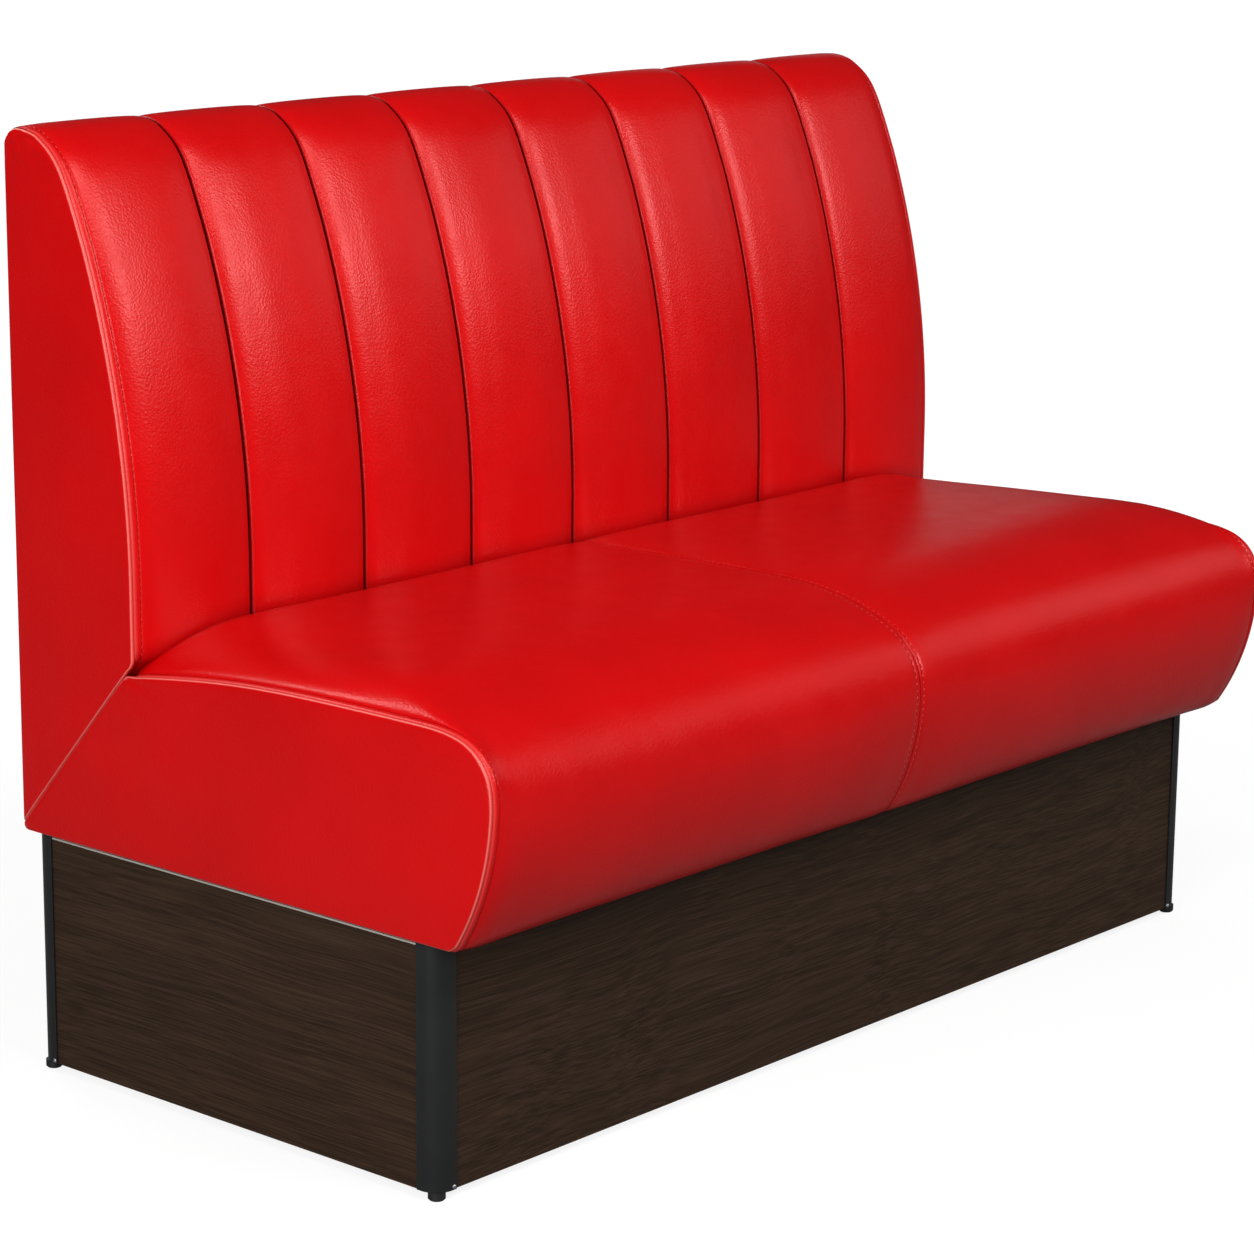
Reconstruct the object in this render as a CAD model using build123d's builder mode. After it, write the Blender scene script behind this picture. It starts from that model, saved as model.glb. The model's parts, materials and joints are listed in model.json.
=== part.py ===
from build123d import *
from math import cos, radians, sin, sqrt
import os

# A straight diner banquette: a boxed plinth, a sprung seat unit and a channelled back unit.
# Lengths are in millimetres. X runs along the bench, Y from its front to its rear, Z up.
# The origin is on the floor, in the middle of the box round the whole bench.

# The whole bench
bench_width = 1200.0
bench_depth = 606.0
bench_height = 905.0
seat_height = 456.0
plinth_top = 240.0
fit_gap = 0.3
cut_over = 2.0

# Covers: leatherette with a thin lamination, sewn to domed side panels
cover_thick = 1.5
quilt_base = 2.0
side_panel_thick = 9.1
side_panel_round = 6.5
end_round = 22.0
round_angles = (0.0, 30.0, 60.0, 90.0)

# Channels of the back, from one seam to the next
channel_count = 8
channel_depth = 7.0
channel_place_shares = (0.0, 0.04, 0.16, 0.84, 0.96, 1.0)
channel_puff_shares = (0.0, 0.62, 1.0, 1.0, 0.62, 0.0)

# Back unit, seen from the side, at its channel seams
back_depth = 160.0
back_curve_lift = 60.0
crest_radius = 70.0
crest_rear_round = 18.4
crest_puff_share = 0.4
crest_shift_share = 0.83
side_seam_inset = 9.0
back_foam_depth = 45.0
crest_foam_depth = 43.0

# Raked joint between the seat unit and the back unit
rake_heel_lift = 7.0
rake_tuck = 29.0

# Seat cushion, seen from the side, at its crown
nose_drop = 88.0
nose_round_share = 0.74
brow_reach = 165.0
toe_setback = 40.0
rear_drop = 8.0
drop_depth_share = 0.64
seam_dip = 4.0
dip_place_shares = (0.0, 0.03, 0.12)
dip_depth_shares = (1.0, 0.4, 0.0)

# Seat cushion, seen from the side, at its side seams
side_nose_setback = 1.0
side_nose_drop = 52.0
side_nose_round_share = 0.92
side_brow_reach = 80.0
side_toe_setback = 46.0
side_top_drop = 21.0
side_rear_drop = 59.0

# Timber of the two upholstery frames
ply_thick = 18.0
rail_thick = 22.0
seat_foam_depth = 111.0
frame_side_foam = 7.0
frame_nose_foam = 51.0
seat_rear_rail_depth = 123.0
stretcher_height_share = 0.6
stretcher_spread_share = 0.33
heel_rail_width = 30.0
heel_rail_gap = 4.0
rake_rail_width = 80.0
rake_rail_start = 50.0
bent_board_thick = 4.0
rear_board_thick = 3.0
lumbar_rail_height = 70.0
lumbar_rail_lift = 40.0
middle_rail_height = 60.0
middle_rail_lift_share = 0.62
board_edge_round = 2.0

# Webbing, felt and lining
web_count = 8
web_width = 60.0
web_thick = 2.0
web_end_margin = 4.0
felt_thick = 3.0
lining_thick = 1.0

# Plinth
glide_height = 8.0
glide_diameter = 16.0
glide_chamfer = 1.5
stem_diameter = 8.0
stem_length = 30.0
plinth_end_inset = 12.5
plinth_toe_space = 76.0
panel_thick = 16.0
panel_top_gap = 6.0
post_leg = 25.0
post_lip = 1.5
slot_gap = 0.2
post_radius = 19.0
cleat_size = 30.0
cleat_end_space = 2.5
centre_board_lift = 12.0

# Bolts and coach screws
bolt_diameter = 8.0
bolt_gap = 0.3
head_across = 13.0
head_sides = 6
head_height = 5.5
nut_height = 6.5
screw_bite = 20.0
rake_bolt_count = 3
rake_bolt_spread_share = 0.7

# Places worked out from the sizes above
rear_y = bench_depth / 2
nose_y = -bench_depth / 2
main_half = bench_width / 2 - side_panel_thick
frame_half = main_half - frame_side_foam
gable_inner = frame_half - ply_thick
channel_pitch = bench_width / channel_count
back_face_y = rear_y - back_depth
cover_rear_y = rear_y - cover_thick
frame_rear_y = cover_rear_y - fit_gap
quilt_rear_y = rear_y - quilt_base
board_face_y = back_face_y + back_foam_depth
gable_face_y = board_face_y + bent_board_thick
gable_rear_y = frame_rear_y - rear_board_thick
back_frame_top = bench_height - crest_foam_depth
crease_y = back_face_y - channel_depth - fit_gap
crest_seam_y = rear_y - crest_rear_round
frame_base = plinth_top + lining_thick
felt_top = seat_height - seat_foam_depth
web_top = felt_top - felt_thick
seat_rail_top = web_top - web_thick
stretcher_height = (seat_rail_top - frame_base) * stretcher_height_share
drop_start_y = rear_y - bench_depth * drop_depth_share
frame_front_y = nose_y + frame_nose_foam
front_rail_rear = frame_front_y + rail_thick
rear_rail_rear = rear_y - seat_rear_rail_depth + rail_thick / 2
rear_rail_front = rear_rail_rear - rail_thick
rake_heel = plinth_top + rake_heel_lift
rake_slope = (seat_height - rake_tuck - rake_heel) / back_depth
rake_stretch = sqrt(1 + rake_slope**2)
plinth_half = bench_width / 2 - plinth_end_inset
plinth_front = nose_y + plinth_toe_space
panel_inset = post_lip + slot_gap
panel_inner = panel_inset + panel_thick
post_core = panel_inner + slot_gap + post_lip
cleat_base = plinth_top - cleat_size
panel_top = plinth_top - panel_top_gap

os.makedirs("parts", exist_ok=True)


def rake_z(y):
    """Height of the raked joint at a distance from the front."""
    return rake_heel + rake_slope * (rear_y - y)


def rake_y(z):
    """Place of the raked joint at a height."""
    return rear_y - (z - rake_heel) / rake_slope


def mix(first, last, share):
    """A size part of the way from one value to another."""
    return first + (last - first) * share


def save(part, name):
    """Label a finished piece and write it out."""
    part.label = name
    export_step(part, "parts/" + name + ".step")


def save_pair(part, name):
    """Write a piece of the right-hand end and its mirror image at the left-hand end."""
    save(part, name + "_right")
    save(mirror(part, about=Plane.YZ, mode=Mode.PRIVATE), name + "_left")


def board(x_low, x_high, y_low, y_high, z_low, z_high):
    """A straight piece of timber or sheet between its six faces."""
    with BuildPart() as piece:
        with BuildSketch(Plane.XY.offset(z_low)):
            with Locations(((x_low + x_high) / 2, (y_low + y_high) / 2)):
                Rectangle(x_high - x_low, y_high - y_low)
        extrude(amount=z_high - z_low)
    return piece.part


back_curve_start = rake_z(crease_y) + back_curve_lift


def curve_radius(run, rise):
    """Radius of the back's long curve, which starts upright and meets the crest's arc after run and rise."""
    return (run**2 + rise**2 - crest_radius**2) / (2 * (run - crest_radius))


seam_crest_z = bench_height - channel_depth * crest_puff_share
seam_curve_radius = curve_radius(crest_seam_y - back_face_y, seam_crest_z - crest_radius - back_curve_start)


def back_outline(puff, inset, sink):
    """Side outline of the back cushion, puffed forward, drawn in by inset, its foot sunk past the rake."""
    face_y = back_face_y - puff
    crest_y = crest_seam_y - puff * crest_shift_share
    crest_z = bench_height - (channel_depth - puff) * crest_puff_share
    rise = crest_z - crest_radius - back_curve_start
    curve_r = curve_radius(crest_y - face_y, rise)
    crest_r = crest_radius - inset
    blend_y = crest_y - crest_r * (face_y + curve_r - crest_y) / (curve_r - crest_radius)
    blend_z = crest_z - crest_radius + crest_r * rise / (curve_r - crest_radius)
    face_y = face_y + inset
    crest_z = crest_z - inset
    rear = rear_y - inset
    with BuildLine() as outline:
        face = Line((face_y, rake_z(face_y) - sink), (face_y, back_curve_start))
        curve = TangentArc(face @ 1, (blend_y, blend_z), tangent=(0, 1))
        crest = TangentArc(curve @ 1, (crest_y, crest_z), tangent=curve % 1)
        roll = TangentArc(crest @ 1, (rear, crest_z - (rear - crest_y)), tangent=(1, 0))
        tail = Line(roll @ 1, (rear, rake_z(rear) - sink))
        Line(tail @ 1, face @ 0)
    return outline.line


def frame_outline(face_y, top_z, rear, sink):
    """Side outline of the back's timber: a straight foot, the long curve, a flat top."""
    top_y = face_y + seam_curve_radius - sqrt(seam_curve_radius**2 - (top_z - back_curve_start) ** 2)
    with BuildLine() as outline:
        face = Line((face_y, rake_z(face_y) - sink), (face_y, back_curve_start))
        curve = TangentArc(face @ 1, (top_y, top_z), tangent=(0, 1))
        top = Line(curve @ 1, (rear, top_z))
        tail = Line(top @ 1, (rear, rake_z(rear) - sink))
        Line(tail @ 1, face @ 0)
    return outline.line


def seat_outline(side_share, inset):
    """Side outline of the seat cushion, from its crown (0) to its side seam (1), drawn in by inset."""
    nose = nose_y + side_nose_setback * side_share
    top_z = seat_height - side_top_drop * side_share
    toe = nose_y + mix(toe_setback, side_toe_setback, side_share) + inset
    droop = mix(rear_drop, side_rear_drop, side_share)
    nose_fall = mix(nose_drop, side_nose_drop, side_share)
    nose_r = nose_fall * mix(nose_round_share, side_nose_round_share, side_share)
    run = mix(brow_reach, side_brow_reach, side_share) - nose_r
    brow_r = (run**2 + nose_fall**2 - nose_r**2) / (2 * (nose_fall - nose_r))
    reach = brow_r - nose_r
    nose_z = top_z - nose_fall
    brow_y = nose + nose_r + run
    blend_y = nose + nose_r - (nose_r - inset) * run / reach
    blend_z = nose_z + (nose_r - inset) * (brow_r - nose_fall) / reach
    top_z = top_z - inset
    with BuildLine() as outline:
        toe_arc = TangentArc((nose + inset, nose_z), (toe, plinth_top), tangent=(0, -1))
        nose_arc = TangentArc(toe_arc @ 0, (blend_y, blend_z), tangent=(0, 1))
        brow_arc = TangentArc(nose_arc @ 1, (brow_y, top_z), tangent=nose_arc % 1)
        top = Line(brow_arc @ 1, (drop_start_y, top_z))
        fall = TangentArc(top @ 1, (rear_y, top_z - droop), tangent=(1, 0))
        tail = Line(fall @ 1, (rear_y, plinth_top))
        Line(tail @ 1, toe_arc @ 1)
    return outline.line


def under_rake():
    """The room under the raked joint, where no soft part of the back reaches."""
    front = crease_y - cut_over
    rear = rear_y + 2 * cut_over
    with BuildLine() as outline:
        Polyline(
            (front, rake_z(front)),
            (rear, rake_z(rear)),
            (rear, plinth_top),
            (front, plinth_top),
            close=True,
        )
    return outline.line


def rim_places():
    """Places and draw-ins of an end panel's rounded rim, from its seam to its face."""
    flat = main_half + side_panel_thick - side_panel_round
    places = [(main_half, 0)]
    for angle in round_angles:
        turn = radians(angle)
        places.append((flat + side_panel_round * sin(turn), side_panel_round * (1 - cos(turn))))
    return places


def end_places(flat_puff, end_puff):
    """Places and puffs round the end of a cushion, from its flat to its side seam."""
    places = []
    for angle in round_angles:
        place = main_half - end_round * (1 - sin(radians(angle)))
        places.append((place, mix(flat_puff, end_puff, 1 - cos(radians(angle)))))
    return places


def back_core(inset):
    """The back cushion without its channels, drawn in by inset, and sunk past its foot."""
    right = end_places(0, -side_seam_inset)
    left = [(-place, puff) for place, puff in reversed(right)]
    with BuildPart() as core:
        for span in (left, (left[-1], right[0]), right):
            for place, puff in span:
                with BuildSketch(Plane.YZ.offset(place)):
                    make_face(back_outline(puff, inset, cut_over))
            loft(ruled=True)
    return core.part


def seat_core(inset):
    """The right half of the seat cushion, from its middle seam to its side seam, drawn in by inset."""
    dips = zip(dip_place_shares, dip_depth_shares)
    middle = [(main_half * place, 0, inset + seam_dip * dip) for place, dip in dips]
    end = [(place, share, inset) for place, share in end_places(0, 1)]
    with BuildPart() as core:
        for span in (middle, (middle[-1], end[0]), end):
            for place, side_share, drawn_in in span:
                with BuildSketch(Plane.YZ.offset(place)):
                    make_face(seat_outline(side_share, drawn_in))
            loft(ruled=True)
    return core.part


def back_space():
    """The room over the seat unit that the back unit takes: behind the crease and over the rake."""
    rear = rear_y + 2 * cut_over
    gap = fit_gap * rake_stretch
    with BuildLine() as outline:
        Polyline(
            (crease_y, bench_height),
            (crease_y, rake_z(crease_y) - gap),
            (rear, rake_z(rear) - gap),
            (rear, bench_height),
            close=True,
        )
    return outline.line


# Plinth: corner posts, extruded with a rounded corner and a slot for each panel
with BuildPart() as post:
    with BuildSketch(Plane.XY.offset(glide_height)):
        with Locations((plinth_half - post_leg / 2, plinth_front + post_core / 2)):
            Rectangle(post_leg, post_core)
        with Locations((plinth_half - post_core / 2, plinth_front + post_leg / 2)):
            Rectangle(post_core, post_leg)
        corner = vertices().sort_by(Axis.Y)[:2].sort_by(Axis.X)[-1]
        fillet(corner, radius=post_radius)
        slot_width = panel_thick + 2 * slot_gap
        with Locations((plinth_half - post_core - post_leg / 2, plinth_front + post_core / 2)):
            Rectangle(post_leg, slot_width, mode=Mode.SUBTRACT)
        with Locations((plinth_half - post_core / 2, plinth_front + post_core + post_leg / 2)):
            Rectangle(slot_width, post_leg, mode=Mode.SUBTRACT)
        with Locations((plinth_half - post_core / 2, plinth_front + post_core / 2)):
            Circle(stem_diameter / 2 + bolt_gap, mode=Mode.SUBTRACT)
    extrude(amount=plinth_top - glide_height)
plinth_middle = Plane.XZ.offset(-(plinth_front + rear_y) / 2)
save_pair(post.part, "corner_post_front")
save_pair(mirror(post.part, about=plinth_middle, mode=Mode.PRIVATE), "corner_post_rear")

# Plinth: laminated panels, their ends held in the posts' slots
panel_end = plinth_half - post_core - slot_gap
side_low = plinth_front + post_core + slot_gap
side_high = rear_y - post_core - slot_gap
front_face = plinth_front + panel_inset
rear_face = rear_y - panel_inset
side_face = plinth_half - panel_inset
front_inner = front_face + panel_thick
rear_inner = rear_face - panel_thick
side_inner = side_face - panel_thick
front_panel = board(-panel_end, panel_end, front_face, front_inner, glide_height, panel_top)
rear_panel = board(-panel_end, panel_end, rear_inner, rear_face, glide_height, panel_top)
side_panel = board(side_inner, side_face, side_low, side_high, glide_height, panel_top)
save(front_panel, "plinth_panel_front")
save(rear_panel, "plinth_panel_rear")
save_pair(side_panel, "plinth_panel")

# Plinth: cleats round the inside of its top edge, and a board across its middle
cleat_end = plinth_half - post_leg - cleat_end_space
screw_x = frame_half * stretcher_spread_share
front_screw_y = front_inner + cleat_size / 2
rear_screw_y = rear_inner - cleat_size / 2
screw_places = [(x, y) for x in (-screw_x, screw_x) for y in (front_screw_y, rear_screw_y)]


def drill(part, places, base, depth):
    """The same piece with an upright hole for each coach screw."""
    with BuildPart() as drilled:
        add(part)
        with BuildSketch(Plane.XY.offset(base)):
            with Locations(places):
                Circle(bolt_diameter / 2 + bolt_gap)
        extrude(amount=depth, mode=Mode.SUBTRACT)
    return drilled.part


for name, y_low in (("cleat_front", front_inner), ("cleat_rear", rear_inner - cleat_size)):
    cleat = board(-cleat_end, cleat_end, y_low, y_low + cleat_size, cleat_base, plinth_top)
    save(drill(cleat, screw_places, cleat_base, cleat_size), name)
cleat = board(
    side_inner - cleat_size,
    side_inner,
    front_inner + cleat_size,
    rear_inner - cleat_size,
    cleat_base,
    plinth_top,
)
save_pair(cleat, "cleat")
half_panel = panel_thick / 2
centre_base = glide_height + centre_board_lift
centre_board = board(-half_panel, half_panel, front_inner, rear_inner, centre_base, cleat_base)
save(centre_board, "plinth_centre_board")

# Plinth: a glide under each post, its stem in the post's bore
glide_x = plinth_half - post_core / 2
glide_front = plinth_front + post_core / 2
glide_rear = rear_y - post_core / 2
glide_places = [(x, y) for x in (-glide_x, glide_x) for y in (glide_front, glide_rear)]
with BuildPart() as glides:
    with BuildSketch():
        with Locations(glide_places):
            Circle(glide_diameter / 2)
    extrude(amount=glide_height)
    chamfer(glides.faces().sort_by(Axis.Z)[:4].edges(), length=glide_chamfer)
    with BuildSketch(Plane.XY.offset(glide_height)):
        with Locations(glide_places):
            Circle(stem_diameter / 2)
    extrude(amount=stem_length)
save(glides.part, "glides")

# Plinth: coach screws up through the cleats into the seat frame
with BuildPart() as coach_screws:
    with BuildSketch(Plane.XY.offset(cleat_base - head_height)):
        with Locations(screw_places):
            RegularPolygon(head_across / 2, head_sides, major_radius=False)
    extrude(amount=head_height)
    with BuildSketch(Plane.XY.offset(cleat_base)):
        with Locations(screw_places):
            Circle(bolt_diameter / 2)
    extrude(amount=cleat_size + lining_thick + screw_bite)
save(coach_screws.part, "coach_screws")

# Seat frame: lining, front and rear rails, heel rail and stretchers
lining = board(-frame_half, frame_half, frame_front_y, frame_rear_y, plinth_top, frame_base)
save(drill(lining, screw_places, plinth_top, lining_thick), "seat_lining")
front_rail = board(-gable_inner, gable_inner, frame_front_y, front_rail_rear, frame_base, seat_rail_top)
rear_rail = board(-gable_inner, gable_inner, rear_rail_front, rear_rail_rear, frame_base, seat_rail_top)
save(front_rail, "seat_front_rail")
save(rear_rail, "seat_rear_rail")
heel_high = rake_y(frame_base + rail_thick + heel_rail_gap)
heel_low = heel_high - heel_rail_width
heel_rail = board(-gable_inner, gable_inner, heel_low, heel_high, frame_base, frame_base + rail_thick)
save(drill(heel_rail, screw_places, frame_base, screw_bite), "seat_heel_rail")
stretcher = board(
    screw_x - rail_thick / 2,
    screw_x + rail_thick / 2,
    front_rail_rear,
    rear_rail_front,
    frame_base,
    frame_base + stretcher_height,
)
save_pair(drill(stretcher, screw_places, frame_base, screw_bite), "seat_stretcher")

# Seat frame: end gables with a raked rear edge
with BuildPart() as seat_gable:
    with BuildSketch(Plane.YZ.offset(gable_inner)):
        with BuildLine():
            Polyline(
                (frame_front_y, frame_base),
                (frame_front_y, seat_rail_top),
                (rake_y(seat_rail_top), seat_rail_top),
                (frame_rear_y, rake_z(frame_rear_y)),
                (frame_rear_y, frame_base),
                close=True,
            )
        make_face()
    extrude(amount=ply_thick)
    fillet(seat_gable.edges().filter_by(Axis.X).group_by(Axis.Y)[0], radius=board_edge_round)
save_pair(seat_gable.part, "seat_gable")

# Raked joint: one rail on each unit, face to face, held by bolts and nuts
rake_along = Vector(0, -1 / rake_stretch, rake_slope / rake_stretch)
rake_up = Vector(0, rake_slope / rake_stretch, 1 / rake_stretch)
rake_middle = Vector(0, rear_y, rake_heel) + rake_along * (rake_rail_start + rake_rail_width / 2)
rake_plane = Plane(origin=rake_middle, x_dir=(1, 0, 0), z_dir=rake_up)
rake_bolt_pitch = 2 * gable_inner * rake_bolt_spread_share / (rake_bolt_count - 1)
for name, amount in (("seat_rake_rail", -rail_thick), ("back_foot_rail", rail_thick)):
    with BuildPart() as rake_rail:
        with BuildSketch(rake_plane):
            Rectangle(2 * gable_inner, rake_rail_width)
            with GridLocations(rake_bolt_pitch, 0, rake_bolt_count, 1):
                Circle(bolt_diameter / 2 + bolt_gap, mode=Mode.SUBTRACT)
        extrude(amount=amount)
    save(rake_rail.part, name)

with BuildPart() as rake_bolts:
    with BuildSketch(rake_plane.offset(rail_thick)):
        with GridLocations(rake_bolt_pitch, 0, rake_bolt_count, 1):
            RegularPolygon(head_across / 2, head_sides, major_radius=False)
    extrude(amount=head_height)
    with BuildSketch(rake_plane.offset(rail_thick)):
        with GridLocations(rake_bolt_pitch, 0, rake_bolt_count, 1):
            Circle(bolt_diameter / 2)
    extrude(amount=-(2 * rail_thick + nut_height + cut_over))
save(rake_bolts.part, "rake_bolts")

with BuildPart() as rake_nuts:
    with BuildSketch(rake_plane.offset(-rail_thick)):
        with GridLocations(rake_bolt_pitch, 0, rake_bolt_count, 1):
            RegularPolygon(head_across / 2, head_sides, major_radius=False)
            Circle(bolt_diameter / 2 + fit_gap / 2, mode=Mode.SUBTRACT)
    extrude(amount=-nut_height)
save(rake_nuts.part, "rake_nuts")

# Seat springing: webbing straps from rail to rail under a felt pad
web_pitch = 2 * gable_inner / web_count
with BuildPart() as webbing:
    with BuildSketch(Plane.XY.offset(seat_rail_top)):
        with Locations((0, (frame_front_y + rear_rail_rear) / 2)):
            with GridLocations(web_pitch, 0, web_count, 1):
                Rectangle(web_width, rear_rail_rear - frame_front_y - 2 * web_end_margin)
    extrude(amount=web_thick)
save(webbing.part, "seat_webbing")
save(board(-frame_half, frame_half, frame_front_y, rear_rail_rear, web_top, felt_top), "seat_felt")

# Seat foam: a crowned block over the deck, a nose bolster and a pad on each gable
seat_foam_half = seat_core(cover_thick + fit_gap)
with BuildPart() as seat_foam:
    add(seat_foam_half)
    split(bisect_by=Plane.YZ.offset(main_half - fit_gap), keep=Keep.BOTTOM)
    with BuildSketch(Plane.YZ.offset(-cut_over)):
        make_face(back_space())
    extrude(amount=main_half + 2 * cut_over, mode=Mode.SUBTRACT)
    mirror(about=Plane.YZ)
foam_deck = felt_top + fit_gap
with BuildPart() as seat_top_foam:
    add(seat_foam.part)
    split(bisect_by=Plane.XY.offset(foam_deck), keep=Keep.TOP)
save(seat_top_foam.part, "seat_foam")
with BuildPart() as seat_nose_foam:
    add(seat_foam.part)
    split(bisect_by=Plane.XY.offset(felt_top), keep=Keep.BOTTOM)
    split(bisect_by=Plane.XZ.offset(-(frame_front_y - fit_gap)), keep=Keep.TOP)
    split(bisect_by=Plane.YZ.offset(frame_half), keep=Keep.BOTTOM)
    split(bisect_by=Plane.YZ.offset(-frame_half), keep=Keep.TOP)
save(seat_nose_foam.part, "seat_nose_foam")
with BuildPart() as seat_side_foam:
    add(seat_foam.part)
    split(bisect_by=Plane.XY.offset(felt_top), keep=Keep.BOTTOM)
    split(bisect_by=Plane.YZ.offset(frame_half + fit_gap), keep=Keep.TOP)
    split(bisect_by=Plane.XZ.offset(-frame_rear_y), keep=Keep.TOP)
save_pair(seat_side_foam.part, "seat_side_foam")

# Seat cover: two halves sewn along the middle, and a domed panel sewn to each end
seat_cover_outside = seat_core(0)
seat_cover_inside = seat_core(cover_thick)
with BuildPart() as seat_cover:
    add(seat_cover_outside)
    add(seat_cover_inside, mode=Mode.SUBTRACT)
    with BuildSketch(Plane.YZ.offset(-cut_over)):
        make_face(back_space())
    extrude(amount=main_half + 2 * cut_over, mode=Mode.SUBTRACT)
save_pair(seat_cover.part, "seat_cover")
with BuildPart() as seat_side_panel:
    for place, inset in rim_places():
        with BuildSketch(Plane.YZ.offset(place)):
            make_face(seat_outline(1, inset))
    loft(ruled=True)
    with BuildSketch(Plane.YZ.offset(main_half - cut_over)):
        make_face(back_space())
    extrude(amount=side_panel_thick + 2 * cut_over, mode=Mode.SUBTRACT)
save_pair(seat_side_panel.part, "seat_side_panel")

# Back frame: gables, rails, a bent board in front and a flat board behind
with BuildPart() as back_gable:
    with BuildSketch(Plane.YZ.offset(gable_inner)):
        make_face(frame_outline(gable_face_y, back_frame_top, gable_rear_y, 0))
    extrude(amount=ply_thick)
save_pair(back_gable.part, "back_gable")

with BuildPart() as bent_board:
    with BuildSketch(Plane.YZ.offset(-frame_half)):
        make_face(frame_outline(board_face_y, back_frame_top, gable_rear_y, 0))
        make_face(frame_outline(gable_face_y, back_frame_top, gable_rear_y, 0), mode=Mode.SUBTRACT)
    extrude(amount=2 * frame_half)
save(bent_board.part, "back_bent_board")
rear_board_low = rake_z(gable_rear_y)
rear_board = board(-frame_half, frame_half, gable_rear_y, frame_rear_y, rear_board_low, back_frame_top)
save(rear_board, "back_rear_board")


def back_board_y(z):
    """Place of the gables' front edge at a height on the long curve."""
    climb = max(z - back_curve_start, 0)
    return gable_face_y + seam_curve_radius - sqrt(seam_curve_radius**2 - climb**2)


top_rail_low = back_frame_top - rail_thick
top_rail_front = back_board_y(back_frame_top)
top_rail = board(-gable_inner, gable_inner, top_rail_front, gable_rear_y, top_rail_low, back_frame_top)
save(top_rail, "back_top_rail")
lumbar_low = rake_z(gable_face_y) + lumbar_rail_lift
lumbar_high = lumbar_low + lumbar_rail_height
lumbar_rear = gable_face_y + rail_thick
lumbar_rail = board(-gable_inner, gable_inner, gable_face_y, lumbar_rear, lumbar_low, lumbar_high)
save(lumbar_rail, "back_lumbar_rail")
middle_low = mix(rake_heel, back_frame_top, middle_rail_lift_share)
middle_high = middle_low + middle_rail_height
middle_front = back_board_y(middle_high)
with BuildPart() as middle_rail:
    with BuildSketch(Plane.YZ.offset(-gable_inner)):
        with BuildLine():
            edge = Line((back_board_y(middle_low), middle_low), (middle_front, middle_high))
            rail_rear = middle_front + rail_thick
            Polyline(edge @ 1, (rail_rear, middle_high), (rail_rear, middle_low), edge @ 0)
        make_face()
    extrude(amount=2 * gable_inner)
save(middle_rail.part, "back_middle_rail")

# Back foam: a slab that follows the bent board and rolls over the top, and a pad on each gable
back_foam_form = back_core(quilt_base + fit_gap)
foam_rear_face = board_face_y - fit_gap
foam_seat = back_frame_top + fit_gap
with BuildPart() as back_foam:
    add(back_foam_form)
    split(bisect_by=Plane.YZ.offset(frame_half), keep=Keep.BOTTOM)
    split(bisect_by=Plane.YZ.offset(-frame_half), keep=Keep.TOP)
    with BuildSketch(Plane.YZ.offset(-frame_half - cut_over)):
        make_face(frame_outline(foam_rear_face, foam_seat, rear_y + cut_over, 2 * cut_over))
    extrude(amount=2 * (frame_half + cut_over), mode=Mode.SUBTRACT)
    with BuildSketch(Plane.YZ.offset(-frame_half - cut_over)):
        make_face(under_rake())
    extrude(amount=2 * (frame_half + cut_over), mode=Mode.SUBTRACT)
save(back_foam.part, "back_foam")
with BuildPart() as back_side_foam:
    add(back_foam_form)
    split(bisect_by=Plane.YZ.offset(main_half - fit_gap), keep=Keep.BOTTOM)
    split(bisect_by=Plane.YZ.offset(frame_half + fit_gap), keep=Keep.TOP)
    with BuildSketch(Plane.YZ.offset(frame_half)):
        make_face(under_rake())
    extrude(amount=frame_side_foam + cut_over, mode=Mode.SUBTRACT)
save_pair(back_side_foam.part, "back_side_foam")

# Back cover: eight puffed channels sewn over the top to the edge of a flat rear sheet, domed ends
back_cover_inside = back_core(quilt_base)
rear_sheet_top = back_frame_top + rail_thick / 2
rear_sheet = board(-main_half, main_half, cover_rear_y, rear_y, plinth_top, rear_sheet_top)
save(rear_sheet, "back_rear_cover")
rear_opening = board(-main_half, main_half, quilt_rear_y, rear_y, plinth_top, rear_sheet_top)
channel_shares = list(zip(channel_place_shares, channel_puff_shares))
crown_count = len(channel_shares) // 2
channel_spans = []
for channel in range(1, channel_count - 1):
    seam = (channel - channel_count / 2) * channel_pitch
    span = [(seam + channel_pitch * place, channel_depth * puff) for place, puff in channel_shares]
    channel_spans.append(span)
end_seam = (channel_count / 2 - 1) * channel_pitch
end_shares = channel_shares[:crown_count]
rise = [(end_seam + channel_pitch * place, channel_depth * puff) for place, puff in end_shares]
fall = end_places(channel_depth, -side_seam_inset)
for side in (-1, 1):
    for span in (rise, [rise[-1], fall[0]], fall):
        channel_spans.append([(side * place, puff) for place, puff in span])
with BuildPart() as channel_cover:
    for span in channel_spans:
        for place, puff in span:
            with BuildSketch(Plane.YZ.offset(place)):
                make_face(back_outline(puff, 0, 0))
        loft(ruled=True)
    add(back_cover_inside, mode=Mode.SUBTRACT)
    add(rear_opening, mode=Mode.SUBTRACT)
save(channel_cover.part, "back_channel_cover")
with BuildPart() as back_side_panel:
    for place, inset in rim_places():
        with BuildSketch(Plane.YZ.offset(place)):
            make_face(back_outline(-side_seam_inset, inset, 0))
    loft(ruled=True)
save_pair(back_side_panel.part, "back_side_panel")
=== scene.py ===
import json
import math

import bmesh
import bpy
import numpy as np
from mathutils import Matrix, Vector, noise
from mathutils.geometry import delaunay_2d_cdt


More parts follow.
